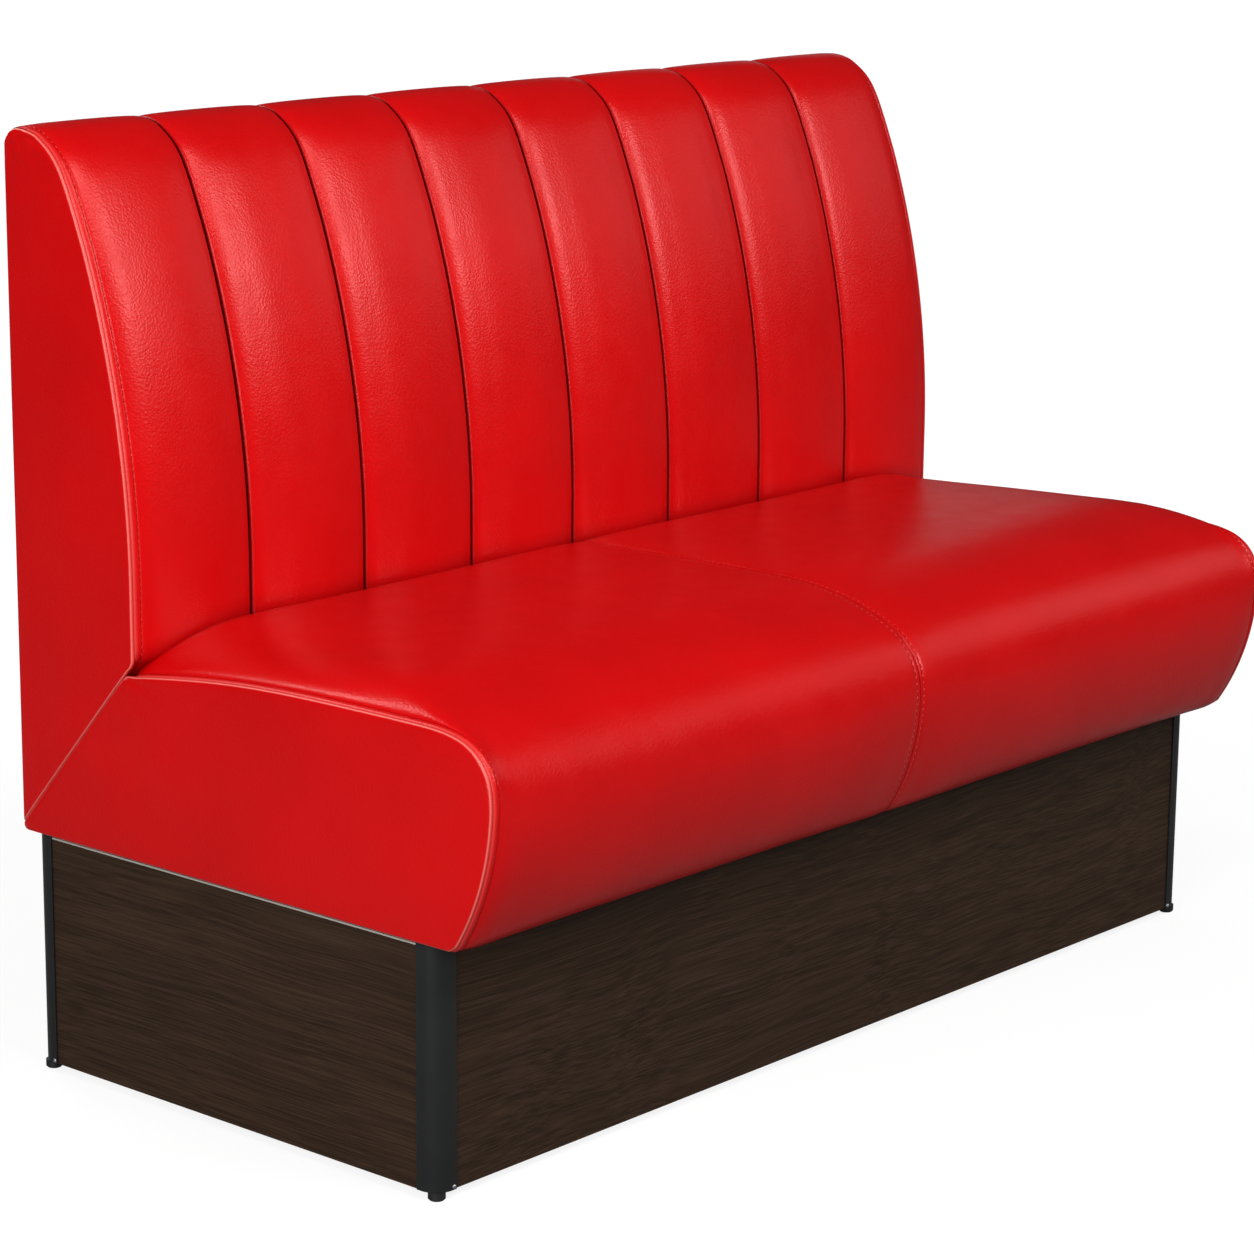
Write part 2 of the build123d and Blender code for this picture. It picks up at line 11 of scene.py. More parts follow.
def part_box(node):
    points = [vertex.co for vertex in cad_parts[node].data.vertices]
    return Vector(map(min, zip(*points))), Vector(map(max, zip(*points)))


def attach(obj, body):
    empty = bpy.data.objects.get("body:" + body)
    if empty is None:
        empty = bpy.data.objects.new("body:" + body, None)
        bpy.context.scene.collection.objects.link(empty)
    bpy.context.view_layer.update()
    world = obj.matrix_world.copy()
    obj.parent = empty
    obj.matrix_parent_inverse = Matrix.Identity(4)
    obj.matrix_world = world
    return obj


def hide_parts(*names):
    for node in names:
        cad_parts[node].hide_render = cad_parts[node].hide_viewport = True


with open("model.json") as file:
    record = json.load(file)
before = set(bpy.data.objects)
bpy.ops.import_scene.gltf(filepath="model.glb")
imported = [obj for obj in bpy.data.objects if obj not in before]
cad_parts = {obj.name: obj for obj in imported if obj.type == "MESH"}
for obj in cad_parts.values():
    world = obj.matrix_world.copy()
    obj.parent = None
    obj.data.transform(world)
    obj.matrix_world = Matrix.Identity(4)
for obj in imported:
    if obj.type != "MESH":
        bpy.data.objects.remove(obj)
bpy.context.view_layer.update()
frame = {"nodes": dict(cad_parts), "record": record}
scene = bpy.context.scene
MM = 0.001

# The viewpoint: a long lens, a little above the seat and well to the left of the bench, as solved
# from the straight edges of the plinth and the channel seams. The small shift only frames the bench.
eye = Vector((-2.84265, -2.39666, 1.24775))
yaw, pitch, roll = math.radians(41.49), math.radians(13.74), math.radians(0.4)
look = Vector((math.cos(yaw) * math.cos(pitch), math.sin(yaw) * math.cos(pitch), -math.sin(pitch)))
level = Vector((math.sin(yaw), -math.cos(yaw), 0))
upright = level.cross(look)
right = math.cos(roll) * level + math.sin(roll) * upright
up = math.cos(roll) * upright - math.sin(roll) * level
lens = bpy.data.cameras.new("camera")
lens.lens = 109.4
lens.sensor_width = 36
lens.shift_x = 0.0288
lens.shift_y = 0.0340
lens.clip_end = 50
camera = bpy.data.objects.new("camera", lens)
camera.matrix_world = Matrix.Translation(eye) @ Matrix((right, up, -look)).transposed().to_4x4()
scene.collection.objects.link(camera)
scene.camera = camera
scene.view_settings.view_transform = "Standard"


# Leatherette: polyester knit coated with soft PVC, embossed with a fine pebble grain and lacquered
# satin, so it gives broad soft highlights that break up into the grain where they are brightest. A
# cover's seam attribute paints shade into its seams, slots, stitch lines and creases, and its edge
# attribute paints a pale highlight along the rims beside the seams.
leatherette_red = "cc0306"
leatherette_dull = "c20205"
painted_shade_red = "1c0001"
painted_highlight_pink = "f08078"
lacquer_tint = "ffb0ae"
hide_drift_mm = 140
pull_mm = 26
# The grain is drawn about twice as coarse as the real one, so that it shows.
grain_mm = 2.4
fine_grain_mm = 1.0
grain_depth_mm = 0.35
fine_grain_depth_mm = 0.12
# A satin lacquer. Below about 0.28 the denoiser treats it as a mirror and leaves dark specks.
satin_low = 0.285
satin_high = 0.35


def linear(hex_colour):
    """A colour written as sRGB hex, as the linear values that a shader takes."""
    parts = [int(hex_colour[i : i + 2], 16) / 255 for i in (0, 2, 4)]
    return [p / 12.92 if p <= 0.04045 else ((p + 0.055) / 1.055) ** 2.4 for p in parts] + [1]


def add_node(tree, kind, inputs=None, **settings):
    """Adds a node with its settings, and fills or links its inputs."""
    made = tree.nodes.new(kind)
    for key, value in settings.items():
        setattr(made, key, value)
    for key, value in (inputs or {}).items():
        if isinstance(value, bpy.types.NodeSocket):
            tree.links.new(value, made.inputs[key])
        else:
            made.inputs[key].default_value = value
    return made


def new_material(name):
    """An empty material with its tree, its shader and its object coordinates."""
    material = bpy.data.materials.new(name)
    material.use_nodes = True
    tree = material.node_tree
    tree.nodes.clear()
    shader = add_node(tree, "ShaderNodeBsdfPrincipled")
    add_node(tree, "ShaderNodeOutputMaterial", {"Surface": shader.outputs["BSDF"]})
    place = add_node(tree, "ShaderNodeTexCoord").outputs["Object"]
    return material, tree, shader, place


def colour_ramp(tree, factor, stops):
    """A ramp through the hex colours at their places."""
    ramp = add_node(tree, "ShaderNodeValToRGB", {"Fac": factor})
    while len(ramp.color_ramp.elements) < len(stops):
        ramp.color_ramp.elements.new(0.5)
    for element, (position, hex_colour) in zip(ramp.color_ramp.elements, stops):
        element.position = position
        element.color = linear(hex_colour)
    return ramp.outputs["Color"]


leatherette, tree, shader, place = new_material("satin_pvc_leatherette")
drift = add_node(
    tree, "ShaderNodeTexNoise", {"Vector": place, "Scale": 1000 / hide_drift_mm, "Detail": 3}
)
# Painted shade: darker where the seam attribute marks a seam, slot, stitch line or crease.
painted_seam_shade = add_node(tree, "ShaderNodeAttribute", attribute_name="seam").outputs["Fac"]
base = colour_ramp(tree, drift.outputs["Fac"], [(0.3, leatherette_dull), (0.7, leatherette_red)])
base = add_node(
    tree,
    "ShaderNodeMix",
    {"Factor": painted_seam_shade, "A": base, "B": linear(painted_shade_red)},
    data_type="RGBA",
)
# Painted highlight: paler where the edge attribute marks a rim beside a seam.
painted_rim_highlight = add_node(tree, "ShaderNodeAttribute", attribute_name="edge").outputs["Fac"]
base = add_node(
    tree,
    "ShaderNodeMix",
    {"Factor": painted_rim_highlight, "A": base.outputs["Result"], "B": linear(painted_highlight_pink)},
    data_type="RGBA",
)
tree.links.new(base.outputs["Result"], shader.inputs["Base Color"])
rub = add_node(tree, "ShaderNodeTexNoise", {"Vector": place, "Scale": 1000 / pull_mm, "Detail": 4})
satin = add_node(
    tree,
    "ShaderNodeMapRange",
    {
        "Value": rub.outputs["Fac"],
        "From Min": 0.3,
        "From Max": 0.7,
        "To Min": satin_low,
        "To Max": satin_high,
    },
)
tree.links.new(satin.outputs["Result"], shader.inputs["Roughness"])
pebbles = add_node(
    tree,
    "ShaderNodeTexVoronoi",
    {"Vector": place, "Scale": 1000 / grain_mm, "Smoothness": 0.6},
    feature="SMOOTH_F1",
)
fine = add_node(
    tree, "ShaderNodeTexNoise", {"Vector": place, "Scale": 1000 / fine_grain_mm, "Detail": 2}
)
grain_bump = add_node(
    tree,
    "ShaderNodeBump",
    {"Height": pebbles.outputs["Distance"], "Strength": 0.5, "Distance": grain_depth_mm * MM},
)
fine_bump = add_node(
    tree,
    "ShaderNodeBump",
    {
        "Height": fine.outputs["Fac"],
        "Strength": 0.45,
        "Distance": fine_grain_depth_mm * MM,
        "Normal": grain_bump.outputs["Normal"],
    },
)
tree.links.new(fine_bump.outputs["Normal"], shader.inputs["Normal"])
shader.inputs["IOR"].default_value = 1.5
shader.inputs["Specular IOR Level"].default_value = 0.5
shader.inputs["Specular Tint"].default_value = linear(lacquer_tint)


# Back's shape, seen from the side, in the same sizes as the solids. The cover is stretched over cut
# foam, so the outline holds everywhere but at the seams, where it draws in.
rear_y = 303.0
nose_y = -303.0
bench_top = 905.0
plinth_top = 240.0
main_half = 595.5
back_face_y = 143.0
crease_y = 135.7
rake_heel = 247.0
rake_slope = 1.125
curve_rise = 60.0
curve_start = rake_heel + rake_slope * (rear_y - crease_y) + curve_rise
crest_radius = 70.0
crest_y = 284.6
crest_z = 902.2
rear_sheet_top = 873.0
crest_puff_share = 0.22
# The stretch of the outline's points that is eased, and how many times.
crest_easing = (56, 80, 40)
cover_thickness = 1.2
side_seam_inset = 1.0


def rake_z(y):
    """Height of the raked joint between the seat and the back."""
    return rake_heel + rake_slope * (rear_y - y)


def arc(centre, radius, first, last, count):
    """Points of an arc in the side view, between two angles in degrees from the +Y axis."""
    angles = np.radians(np.linspace(first, last, count))
    return np.stack([centre[0] + radius * np.cos(angles), centre[1] + radius * np.sin(angles)], 1)


def line(start, end, count):
    """Evenly spaced points of a straight stretch in the side view."""
    return np.linspace(start, end, count)


def outward(points):
    """Unit normals of a side outline that runs with the outside on its left."""
    along = np.gradient(points, axis=0)
    along /= np.linalg.norm(along, axis=1)[:, None] + 1e-12
    return np.stack([-along[:, 1], along[:, 0]], 1)


def soften(points, first, last, passes):
    """Eases the joints between the arcs of an outline, as foam under a stretched cover does."""
    for _ in range(passes):
        middle = (points[:-2] + points[2:]) / 2
        points[1:-1][first:last] += 0.5 * (middle - points[1:-1])[first:last]
    return points


def back_side():
    """The back's side outline at its seams, from under the foot up and over to the rear sheet."""
    run = crest_y - back_face_y
    rise = crest_z - crest_radius - curve_start
    radius = (run**2 + rise**2 - crest_radius**2) / (2 * (run - crest_radius))
    lean = math.degrees(math.asin(rise / (radius - crest_radius)))
    roll_radius = rear_y - crest_y
    foot = rake_z(back_face_y)
    parts = [
        line(
            (back_face_y + 34, foot - 34 * rake_slope + 1),
            (back_face_y + 9, foot - 9 * rake_slope + 4),
            5,
        ),
        line((back_face_y + 4.6, foot + 0.8), (back_face_y + 1.5, foot + 4.6), 3),
        line((back_face_y, foot + 11), (back_face_y, curve_start), 10),
        arc((back_face_y + radius, curve_start), radius, 180, 180 - lean, 48)[1:],
        arc((crest_y, crest_z - crest_radius), crest_radius, 180 - lean, 90, 26)[1:],
        arc((crest_y, crest_z - roll_radius), roll_radius, 90, 0, 10)[1:],
        line((rear_y, crest_z - roll_radius - 2), (rear_y, rear_sheet_top), 3),
    ]
    points = soften(np.concatenate(parts), *crest_easing)
    angle = np.radians(lean)
    share = np.ones(len(points))
    over = points[:, 1] > crest_z - crest_radius + crest_radius * math.sin(angle)
    tilt = np.arctan2(points[:, 1] - crest_z + crest_radius, crest_y - points[:, 0])
    share[over] = np.cos(tilt[over]) + crest_puff_share * np.sin(tilt[over])
    behind = points[:, 0] > crest_y
    share[behind] = crest_puff_share * (rear_y - points[behind, 0]) / (rear_y - crest_y)
    return points, outward(points), share


def grid_mesh(name, grid):
    """A sheet of faces over a grid of points in millimetres, columns first."""
    index = np.arange(grid[:, :, 0].size).reshape(grid.shape[:2])
    corners = [index[:-1, :-1], index[1:, :-1], index[1:, 1:], index[:-1, 1:]]
    mesh = bpy.data.meshes.new(name)
    faces = np.stack(corners, -1).reshape(-1, 4).tolist()
    mesh.from_pydata((grid.reshape(-1, 3) * MM).tolist(), [], faces)
    return mesh


def skin_piece(name, grid, seam, edge):
    """A closed leatherette skin from a grid, carrying its painted shade and painted highlight values.
    """
    mesh = grid_mesh(name, grid[:, ::-1])
    for mark, values in (("seam", seam), ("edge", edge)):
        attribute = mesh.attributes.new(mark, "FLOAT", "POINT")
        attribute.data.foreach_set("value", values[:, ::-1].astype(np.float32).ravel())
    mesh.shade_smooth()
    mesh.materials.append(leatherette)
    piece = bpy.data.objects.new(name, mesh)
    scene.collection.objects.link(piece)
    wall = piece.modifiers.new("wall", "SOLIDIFY")
    wall.thickness = cover_thickness * MM
    wall.offset = -1
    return piece


# The covers swell by a cloth simulation under the foam's pressure. Its seams hold, and a point moves
# by less than the most that is given, because leatherette hardly stretches over firm foam.
cloth_pressure = 4
cloth_steps = 20
hold_inset = 11.0


def nearest(values, wanted):
    """Which of the values come nearest to the wanted ones."""
    return [int(np.argmin(abs(values - want))) for want in wanted]


def swell(name, grid, places, holds, most):
    """How far each point of a cover moves when its foam presses on it, held at its seams and edges."""
    columns = np.unique(nearest(grid[:, 0, 0], places))
    coarse = grid[columns]
    pad = bpy.data.objects.new(name, grid_mesh(name, coarse))
    scene.collection.objects.link(pad)
    held = np.zeros(coarse.shape[:2], bool)
    held[nearest(coarse[:, 0, 0], holds)] = held[:, :3] = held[:, -3:] = True
    pad.vertex_groups.new(name="held").add(np.flatnonzero(held).tolist(), 1.0, "REPLACE")
    cloth = pad.modifiers.new("cloth", "CLOTH")
    cloth.settings.vertex_group_mass = "held"
    cloth.settings.use_pressure = True
    cloth.settings.uniform_pressure_force = cloth_pressure
    cloth.settings.effector_weights.gravity = 0
    for step in range(1, cloth_steps + 1):
        scene.frame_set(step)
    settled = pad.evaluated_get(bpy.context.evaluated_depsgraph_get()).to_mesh()
    found = np.empty(coarse.size)
    settled.vertices.foreach_get("co", found)
    bpy.data.objects.remove(pad)
    scene.frame_set(1)
    moved = found.reshape(coarse.shape) / MM - coarse
    moved *= most / (most + np.linalg.norm(moved, axis=2, keepdims=True))
    full = np.empty(grid.shape)
    for row in range(grid.shape[1]):
        for axis in range(3):
            full[:, row, axis] = np.interp(grid[:, 0, 0], grid[columns, 0, 0], moved[:, row, axis])
    return full


# How a cover meets an end panel: it is folded under, sewn, and stitched down again beside the seam, so
# a narrow raised lip lies between the seam and the row of stitches, and the foam swells beyond it.
lip_places = np.array([0, 0.4, 1.0, 2.0, 3.2, 4.4, 5.0, 5.5, 6.4, 7.3, 8.0, 9.0, 11, 14, 18, 23, 30])
lip_depths = np.array([2.2, 1.1, 0.3, -0.3, -0.6, -0.6, -0.3, 0.3, 0.9, 0.5, 0.15, 0, 0, 0, 0, 0, 0])
# A painted highlight: the crest of the lip beside the seam is painted paler.
highlight_places = [0, 0.4, 1.0, 2.0, 3.2]
highlight_shares = [0, 0.05, 0.2, 0.05, 0]
stitch_line = 6.4
# The real pitch is about 4 mm. It is drawn coarser, so that single stitches show.
stitch_pitch = 6.5
stitch_length = 3.7
stitch_width = 2.0
stitch_lift = 0.55

# Sewing thread: bonded polyester, twisted from plies and waxed, so that each stitch is a small bright
# bead. It is paler than the leatherette, and its twist is drawn coarser than the real one.
ply_mm = 0.9
thread_dark = "e02a26"
thread_light = "f67a70"
thread, tree, shader, place = new_material("bonded_polyester_thread")
ply = add_node(
    tree,
    "ShaderNodeTexWave",
    {"Vector": place, "Scale": 1000 / ply_mm, "Distortion": 1.0},
    bands_direction="DIAGONAL",
)
thread_colour = colour_ramp(tree, ply.outputs["Fac"], [(0, thread_dark), (1, thread_light)])
tree.links.new(thread_colour, shader.inputs["Base Color"])
shader.inputs["Roughness"].default_value = 0.34
shader.inputs["Specular IOR Level"].default_value = 0.6


def open_tree(name, taken, sizes, finish, made):
    """An empty Geometry Nodes tree that takes geometry, sizes and a finish, with its inputs."""
    tree = bpy.data.node_groups.new(name, "GeometryNodeTree")
    tree.is_modifier = True
    kinds = [(taken, "Geometry"), *((size, "Float") for size in sizes), (finish, "Material")]
    for label, kind in kinds:
        tree.interface.new_socket(label, in_out="INPUT", socket_type="NodeSocket" + kind)
    tree.interface.new_socket(made, in_out="OUTPUT", socket_type="NodeSocketGeometry")
    return tree, add_node(tree, "NodeGroupInput").outputs


def close_tree(tree, laid, finish, made):
    """Ends a tree with real geometry in its finish, in place of instances."""
    real = add_node(tree, "GeometryNodeRealizeInstances", {"Geometry": laid.outputs["Instances"]})
    done = add_node(
        tree, "GeometryNodeSetMaterial", {"Geometry": real.outputs["Geometry"], "Material": finish}
    )
    add_node(tree, "NodeGroupOutput", {made: done.outputs["Geometry"]})


def grow(name, data, tree, values):
    """The plain mesh that a tree makes of a curve or of points, as a new piece."""
    holder = bpy.data.objects.new(name + "_holder", data)
    scene.collection.objects.link(holder)
    maker = holder.modifiers.new("maker", "NODES")
    maker.node_group = tree
    sockets = {s.name: s.identifier for s in tree.interface.items_tree if s.in_out == "INPUT"}
    for label, value in values.items():
        maker[sockets[label]] = value
    view = bpy.context.evaluated_depsgraph_get()
    mesh = bpy.data.meshes.new_from_object(holder.evaluated_get(view))
    bpy.data.objects.remove(holder)
    piece = bpy.data.objects.new(name, mesh)
    scene.collection.objects.link(piece)
    return piece


stitches, given = open_tree("stitch_row", "Curves", ("Pitch", "Length", "Width"), "Thread", "Stitches")
spaced = add_node(
    stitches,
    "GeometryNodeResampleCurve",
    {"Curve": given["Curves"], "Length": given["Pitch"]},
    mode="LENGTH",
)
bead = add_node(stitches, "GeometryNodeMeshUVSphere", {"Segments": 8, "Rings": 5, "Radius": 0.5})
smooth_bead = add_node(stitches, "GeometryNodeSetShadeSmooth", {"Geometry": bead.outputs["Mesh"]})
bead_size = add_node(
    stitches, "ShaderNodeCombineXYZ", {"X": given["Width"], "Y": given["Width"], "Z": given["Length"]}
)
tangent = add_node(stitches, "GeometryNodeInputTangent")
turn = add_node(
    stitches, "FunctionNodeAlignRotationToVector", {"Vector": tangent.outputs["Tangent"]}, axis="Z"
)
laid = add_node(
    stitches,
    "GeometryNodeInstanceOnPoints",
    {
        "Points": spaced.outputs["Curve"],
        "Instance": smooth_bead.outputs["Geometry"],
        "Rotation": turn.outputs["Rotation"],
        "Scale": bead_size.outputs["Vector"],
    },
)
close_tree(stitches, laid, given["Thread"], "Stitches")


def sew(name, rows):
    """Stitches along rows of points in millimetres."""
    path = bpy.data.curves.new(name, "CURVE")
    path.dimensions = "3D"
    for row in rows:
        spline = path.splines.new("POLY")
        spline.points.add(len(row) - 1)
        spline.points.foreach_set("co", np.c_[row * MM, np.ones(len(row))].ravel())
    sizes = {"Pitch": stitch_pitch, "Length": stitch_length, "Width": stitch_width}
    values = {label: size * MM for label, size in sizes.items()}
    return grow(name, path, stitches, values | {"Thread": thread})


# Back cover: eight leatherette channels sewn together and pulled down to the board along each seam,
# so that every channel stands nearly flat between tight rounds, and all roll over the top rail.
channel_pitch = 150.0
seam_places = channel_pitch * np.arange(-3, 4)
back_swell_most = 2.0
side_points, side_normals, side_share = back_side()
half_steps = np.array([0, 1.2, 2.0, 2.4, 2.7, 3.0, 3.6, 4.6, 6.5, 9.5, 14, 20, 28, 38, 50, 62, 75])
half_lifts = np.array(
    [-10, -9.8, -8.5, -5.5, -3, -1.4, -0.6, 0.1, 1.05, 2.2, 3.5, 4.7, 5.7, 6.3, 6.75, 6.95, 7]
)
# Painted shade: the slots between the channels are painted dark near each seam, and the side seams and
# stitch lines a little less.
slot_shade_reach = 3.1
slot_shade_fade = 0.5
painted_stitch_shade = 0.8
contact_height = 441.0
contact_drop = 24.0
contact_level_half = 470.0
painted_contact_shade = 0.62
contact_fade = 30.0

columns = {}
for seam_x in seam_places:
    for t, height in zip(half_steps, half_lifts):
        for x in (seam_x - t, seam_x + t):
            columns[round(x, 3)] = (x, height, min(1, max(0, (slot_shade_reach - t) / slot_shade_fade)))
for t, lip in zip(lip_places, lip_depths):
    place_x = main_half - t
    height = np.interp(t, [0, stitch_line, *half_steps[9:]], [-side_seam_inset, 0.9, *half_lifts[9:]])
    height -= lip
    for x in (-place_x, place_x):
        columns[round(x, 3)] = (x, height, painted_stitch_shade if t in (0, stitch_line) else 0)
table = np.array(sorted(columns.values()))
# Painted highlight along the lip beside each side seam.
back_painted_highlight = np.interp(main_half - abs(table[:, 0]), highlight_places, highlight_shares)
lift = table[:, 1][:, None] * side_share[None, :]
back_grid = np.empty((len(table), len(side_points), 3))
back_grid[:, :, 0] = table[:, 0][:, None]
back_grid[:, :, 1] = side_points[None, :, 0] + side_normals[None, :, 0] * lift
back_grid[:, :, 2] = side_points[None, :, 1] + side_normals[None, :, 1] * lift
back_holds = [hold_inset - main_half, *seam_places, main_half - hold_inset]
back_places = [
    place for start, end in zip(back_holds, back_holds[1:]) for place in np.linspace(start, end, 7)
]
back_grid = back_grid + swell("back_pad", back_grid, back_places, back_holds, back_swell_most)
# Painted shade: the back is painted darker just above where the seat presses against it, following
# the seat's own falling outline.
past_level = np.clip((abs(table[:, 0]) - contact_level_half) / 125, 0, 1)
contact_z = contact_height - contact_drop * past_level**2
above_contact = back_grid[:, :, 2] - contact_z[:, None]
painted_crease_shade = painted_contact_shade * np.clip(1 - above_contact / contact_fade, 0, 1) ** 1.5
back_painted_shade = np.maximum(np.repeat(table[:, 2][:, None], len(side_points), 1), painted_crease_shade)
back_painted_highlight = np.repeat(back_painted_highlight[:, None], len(side_points), 1)
back_cover = skin_piece("back_cover", back_grid, back_painted_shade, back_painted_highlight)
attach(back_cover, "root")
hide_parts("back_channel_cover", "back_foam")


def row_beside(grid, x):
    """The line over a skin at a place along the bench, laid a little proud of its grid."""
    at = int(np.argmin(abs(grid[:, 0, 0] - x)))
    points = grid[at]
    normals = outward(points[:, 1:])
    return np.c_[points[:, :1], points[:, 1:] + normals * stitch_lift]


back_rows = []
for side in (-1, 1):
    back_rows.append(row_beside(back_grid, side * (main_half - stitch_line))[6:-10])
back_stitches = sew("back_side_stitches", back_rows)
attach(back_stitches, "root")

# Seat cover: two leatherette halves joined along the middle, stretched over a crowned foam block and
# its nose, stapled under the frame, and stitched down beside the middle seam and both side seams.
# A pair of sizes holds at the crown and at the side seam.
seat_tops = (456.0, 435.0)
toe_setbacks = (40.0, 46.0)
toe_lift = 5.0
nose_falls = (88.0, 52.0)
nose_round_shares = (0.74, 0.92)
brow_runs = (165.0, 80.0)
drop_share = 0.64
heel_droops = (8.0, 59.0)
crease_reaches = (7.0, 22.0)
tuck_length = 14.0
brow_easing = (23, -6, 12)
drop_easing = (54, -6, 40)
shoulder_places = (40, 52, 66, 82, 100, 120, 145, 180, 220, 270, 330, 400, 450)
shoulder_front = 34.0
shoulder_growth = 86.0
seat_swell_most = 3.0
middle_stitch = 5.2
middle_places = np.array([0, 0.4, 1.0, 1.8, 3.0, 4.4, 5.2, 6.0, 7.5, 10, 14, 20, 30, 45, 65, 90])
middle_depths = np.array(
    [3.6, 2.9, 2.1, 1.7, 1.55, 1.75, 1.95, 1.75, 1.3, 1.0, 0.8, 0.6, 0.4, 0.2, 0.06, 0]
)


def seat_side(side_share):
    """The seat's side outline at its crown (0), its side seam (1) or between, underside to crease."""

    def between(sizes):
        return sizes[0] + (sizes[1] - sizes[0]) * side_share

    nose = nose_y + side_share
    top = between(seat_tops)
    toe = nose_y + between(toe_setbacks)
    droop = between(heel_droops)
    fall = between(nose_falls)
    nose_r = fall * between(nose_round_shares)
    run = between(brow_runs) - nose_r
    brow_r = (run**2 + fall**2 - nose_r**2) / (2 * (fall - nose_r))
    nose_z = top - fall
    brow_y = nose + nose_r + run
    turn = math.degrees(math.acos(run / (brow_r - nose_r)))
    below = nose_z - plinth_top
    toe_r = ((toe - nose) ** 2 + below**2) / (2 * (toe - nose))
    toe_turn = math.degrees(math.asin((below - toe_lift) / toe_r))
    drop_start = rear_y - drop_share * (rear_y - nose_y)
    drop_r = ((rear_y - drop_start) ** 2 + droop**2) / (2 * droop)
    end_y = crease_y + between(crease_reaches)
    fall_y = np.linspace(drop_start, end_y, 26)
    fall_z = top - (drop_r - np.sqrt(drop_r**2 - (fall_y - drop_start) ** 2))
    tuck = np.clip((fall_y - (end_y - tuck_length)) / tuck_length, 0, 1)
    fall_z = fall_z - tuck_length * tuck**2
    parts = [
        line((toe + 34, plinth_top + 0.3), (toe + 7, plinth_top + 0.3), 4),
        line((toe + 3.2, plinth_top + 0.8), (toe + 0.2, plinth_top + 2.6), 3),
        arc((nose + toe_r, nose_z), toe_r, 180 + toe_turn, 180, 18),
        arc((nose + nose_r, nose_z), nose_r, 180, 180 - turn, 20)[1:],
        arc((brow_y, top - brow_r), brow_r, 180 - turn, 90, 30)[1:],
        line((brow_y, top), (drop_start, top), 8)[1:],
        np.stack([fall_y, fall_z], 1)[1:],
        line((end_y + 1.5, fall_z[-1] - 6), (end_y + 2, fall_z[-1] - 16), 3),
    ]
    return soften(soften(np.concatenate(parts), *brow_easing), *drop_easing)


share_steps = np.linspace(0, 1, 21)
outlines = np.stack([seat_side(s) for s in share_steps])
rows = outlines.shape[1]
half_places = [main_half - t for t in lip_places]
half_places += [main_half - t for t in shoulder_places]
half_places += list(middle_places)
half_places = np.array(sorted(set(np.round(half_places, 3))))
seat_places = np.concatenate([-half_places[:0:-1], half_places])
# The rounded shoulder beside each side seam is narrow at the nose and grows towards the crease.
crown_y = outlines[0][:, 0]
run_back = np.clip((crown_y - nose_y - 20) / (crease_y - nose_y - 20), 0, 1)
shoulder = shoulder_front + shoulder_growth * run_back**2 * (3 - 2 * run_back)
seat_grid = np.empty((len(seat_places), rows, 3))
for column, x in enumerate(seat_places):
    from_seam = main_half - abs(x)
    rise = 1 - np.clip((from_seam - stitch_line) / (shoulder - stitch_line), 0, 1)
    share = 0.45 * (1 - np.sqrt(1 - rise**2)) + 0.55 * rise**2.2
    upper = np.clip(np.searchsorted(share_steps, share), 1, len(share_steps) - 1)
    blend = (share - share_steps[upper - 1]) / (share_steps[1] - share_steps[0])
    across = np.arange(rows)
    points = outlines[upper - 1, across] * (1 - blend)[:, None]
    points += outlines[upper, across] * blend[:, None]
    inset = np.interp(from_seam, lip_places, lip_depths)
    inset += np.interp(abs(x), middle_places, middle_depths)
    points = points - outward(points) * inset
    seat_grid[column, :, 0] = x
    seat_grid[column, :, 1:] = points
seat_holds = [hold_inset - main_half, 0, main_half - hold_inset]
swell_places = np.linspace(seat_holds[0], seat_holds[2], 49)
seat_grid = seat_grid + swell("seat_pad", seat_grid, swell_places, seat_holds, seat_swell_most)
# Painted shade in the side and middle seams, on the stitch lines and in the tuck under the back at the
# crease, and a painted highlight on the lip beside each side seam.
from_end = main_half - abs(seat_places)
seat_shade_marks = np.clip(1 - np.minimum(from_end / 0.3, abs(seat_places) / 1.5), 0, 1)
on_stitches = (abs(from_end - stitch_line) < 0.01) | (abs(abs(seat_places) - middle_stitch) < 0.01)
seat_shade_marks[on_stitches] = painted_stitch_shade
seat_painted_shade = np.repeat(seat_shade_marks[:, None], rows, 1)
seat_painted_shade[:, -4:] = 1
seat_painted_shade[:, -5] = np.maximum(seat_painted_shade[:, -5], 0.25)
seat_painted_highlight = np.repeat(np.interp(from_end, highlight_places, highlight_shares)[:, None], rows, 1)
seat_cover = skin_piece("seat_cover", seat_grid, seat_painted_shade, seat_painted_highlight)
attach(seat_cover, "root")
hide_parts("seat_cover_left", "seat_cover_right", "seat_foam", "seat_nose_foam")
seat_rows = []
for x in (-main_half + stitch_line, -middle_stitch, middle_stitch, main_half - stitch_line):
    seat_rows.append(row_beside(seat_grid, x)[8:-8])
seat_stitches = sew("seat_stitches", seat_rows)
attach(seat_stitches, "root")


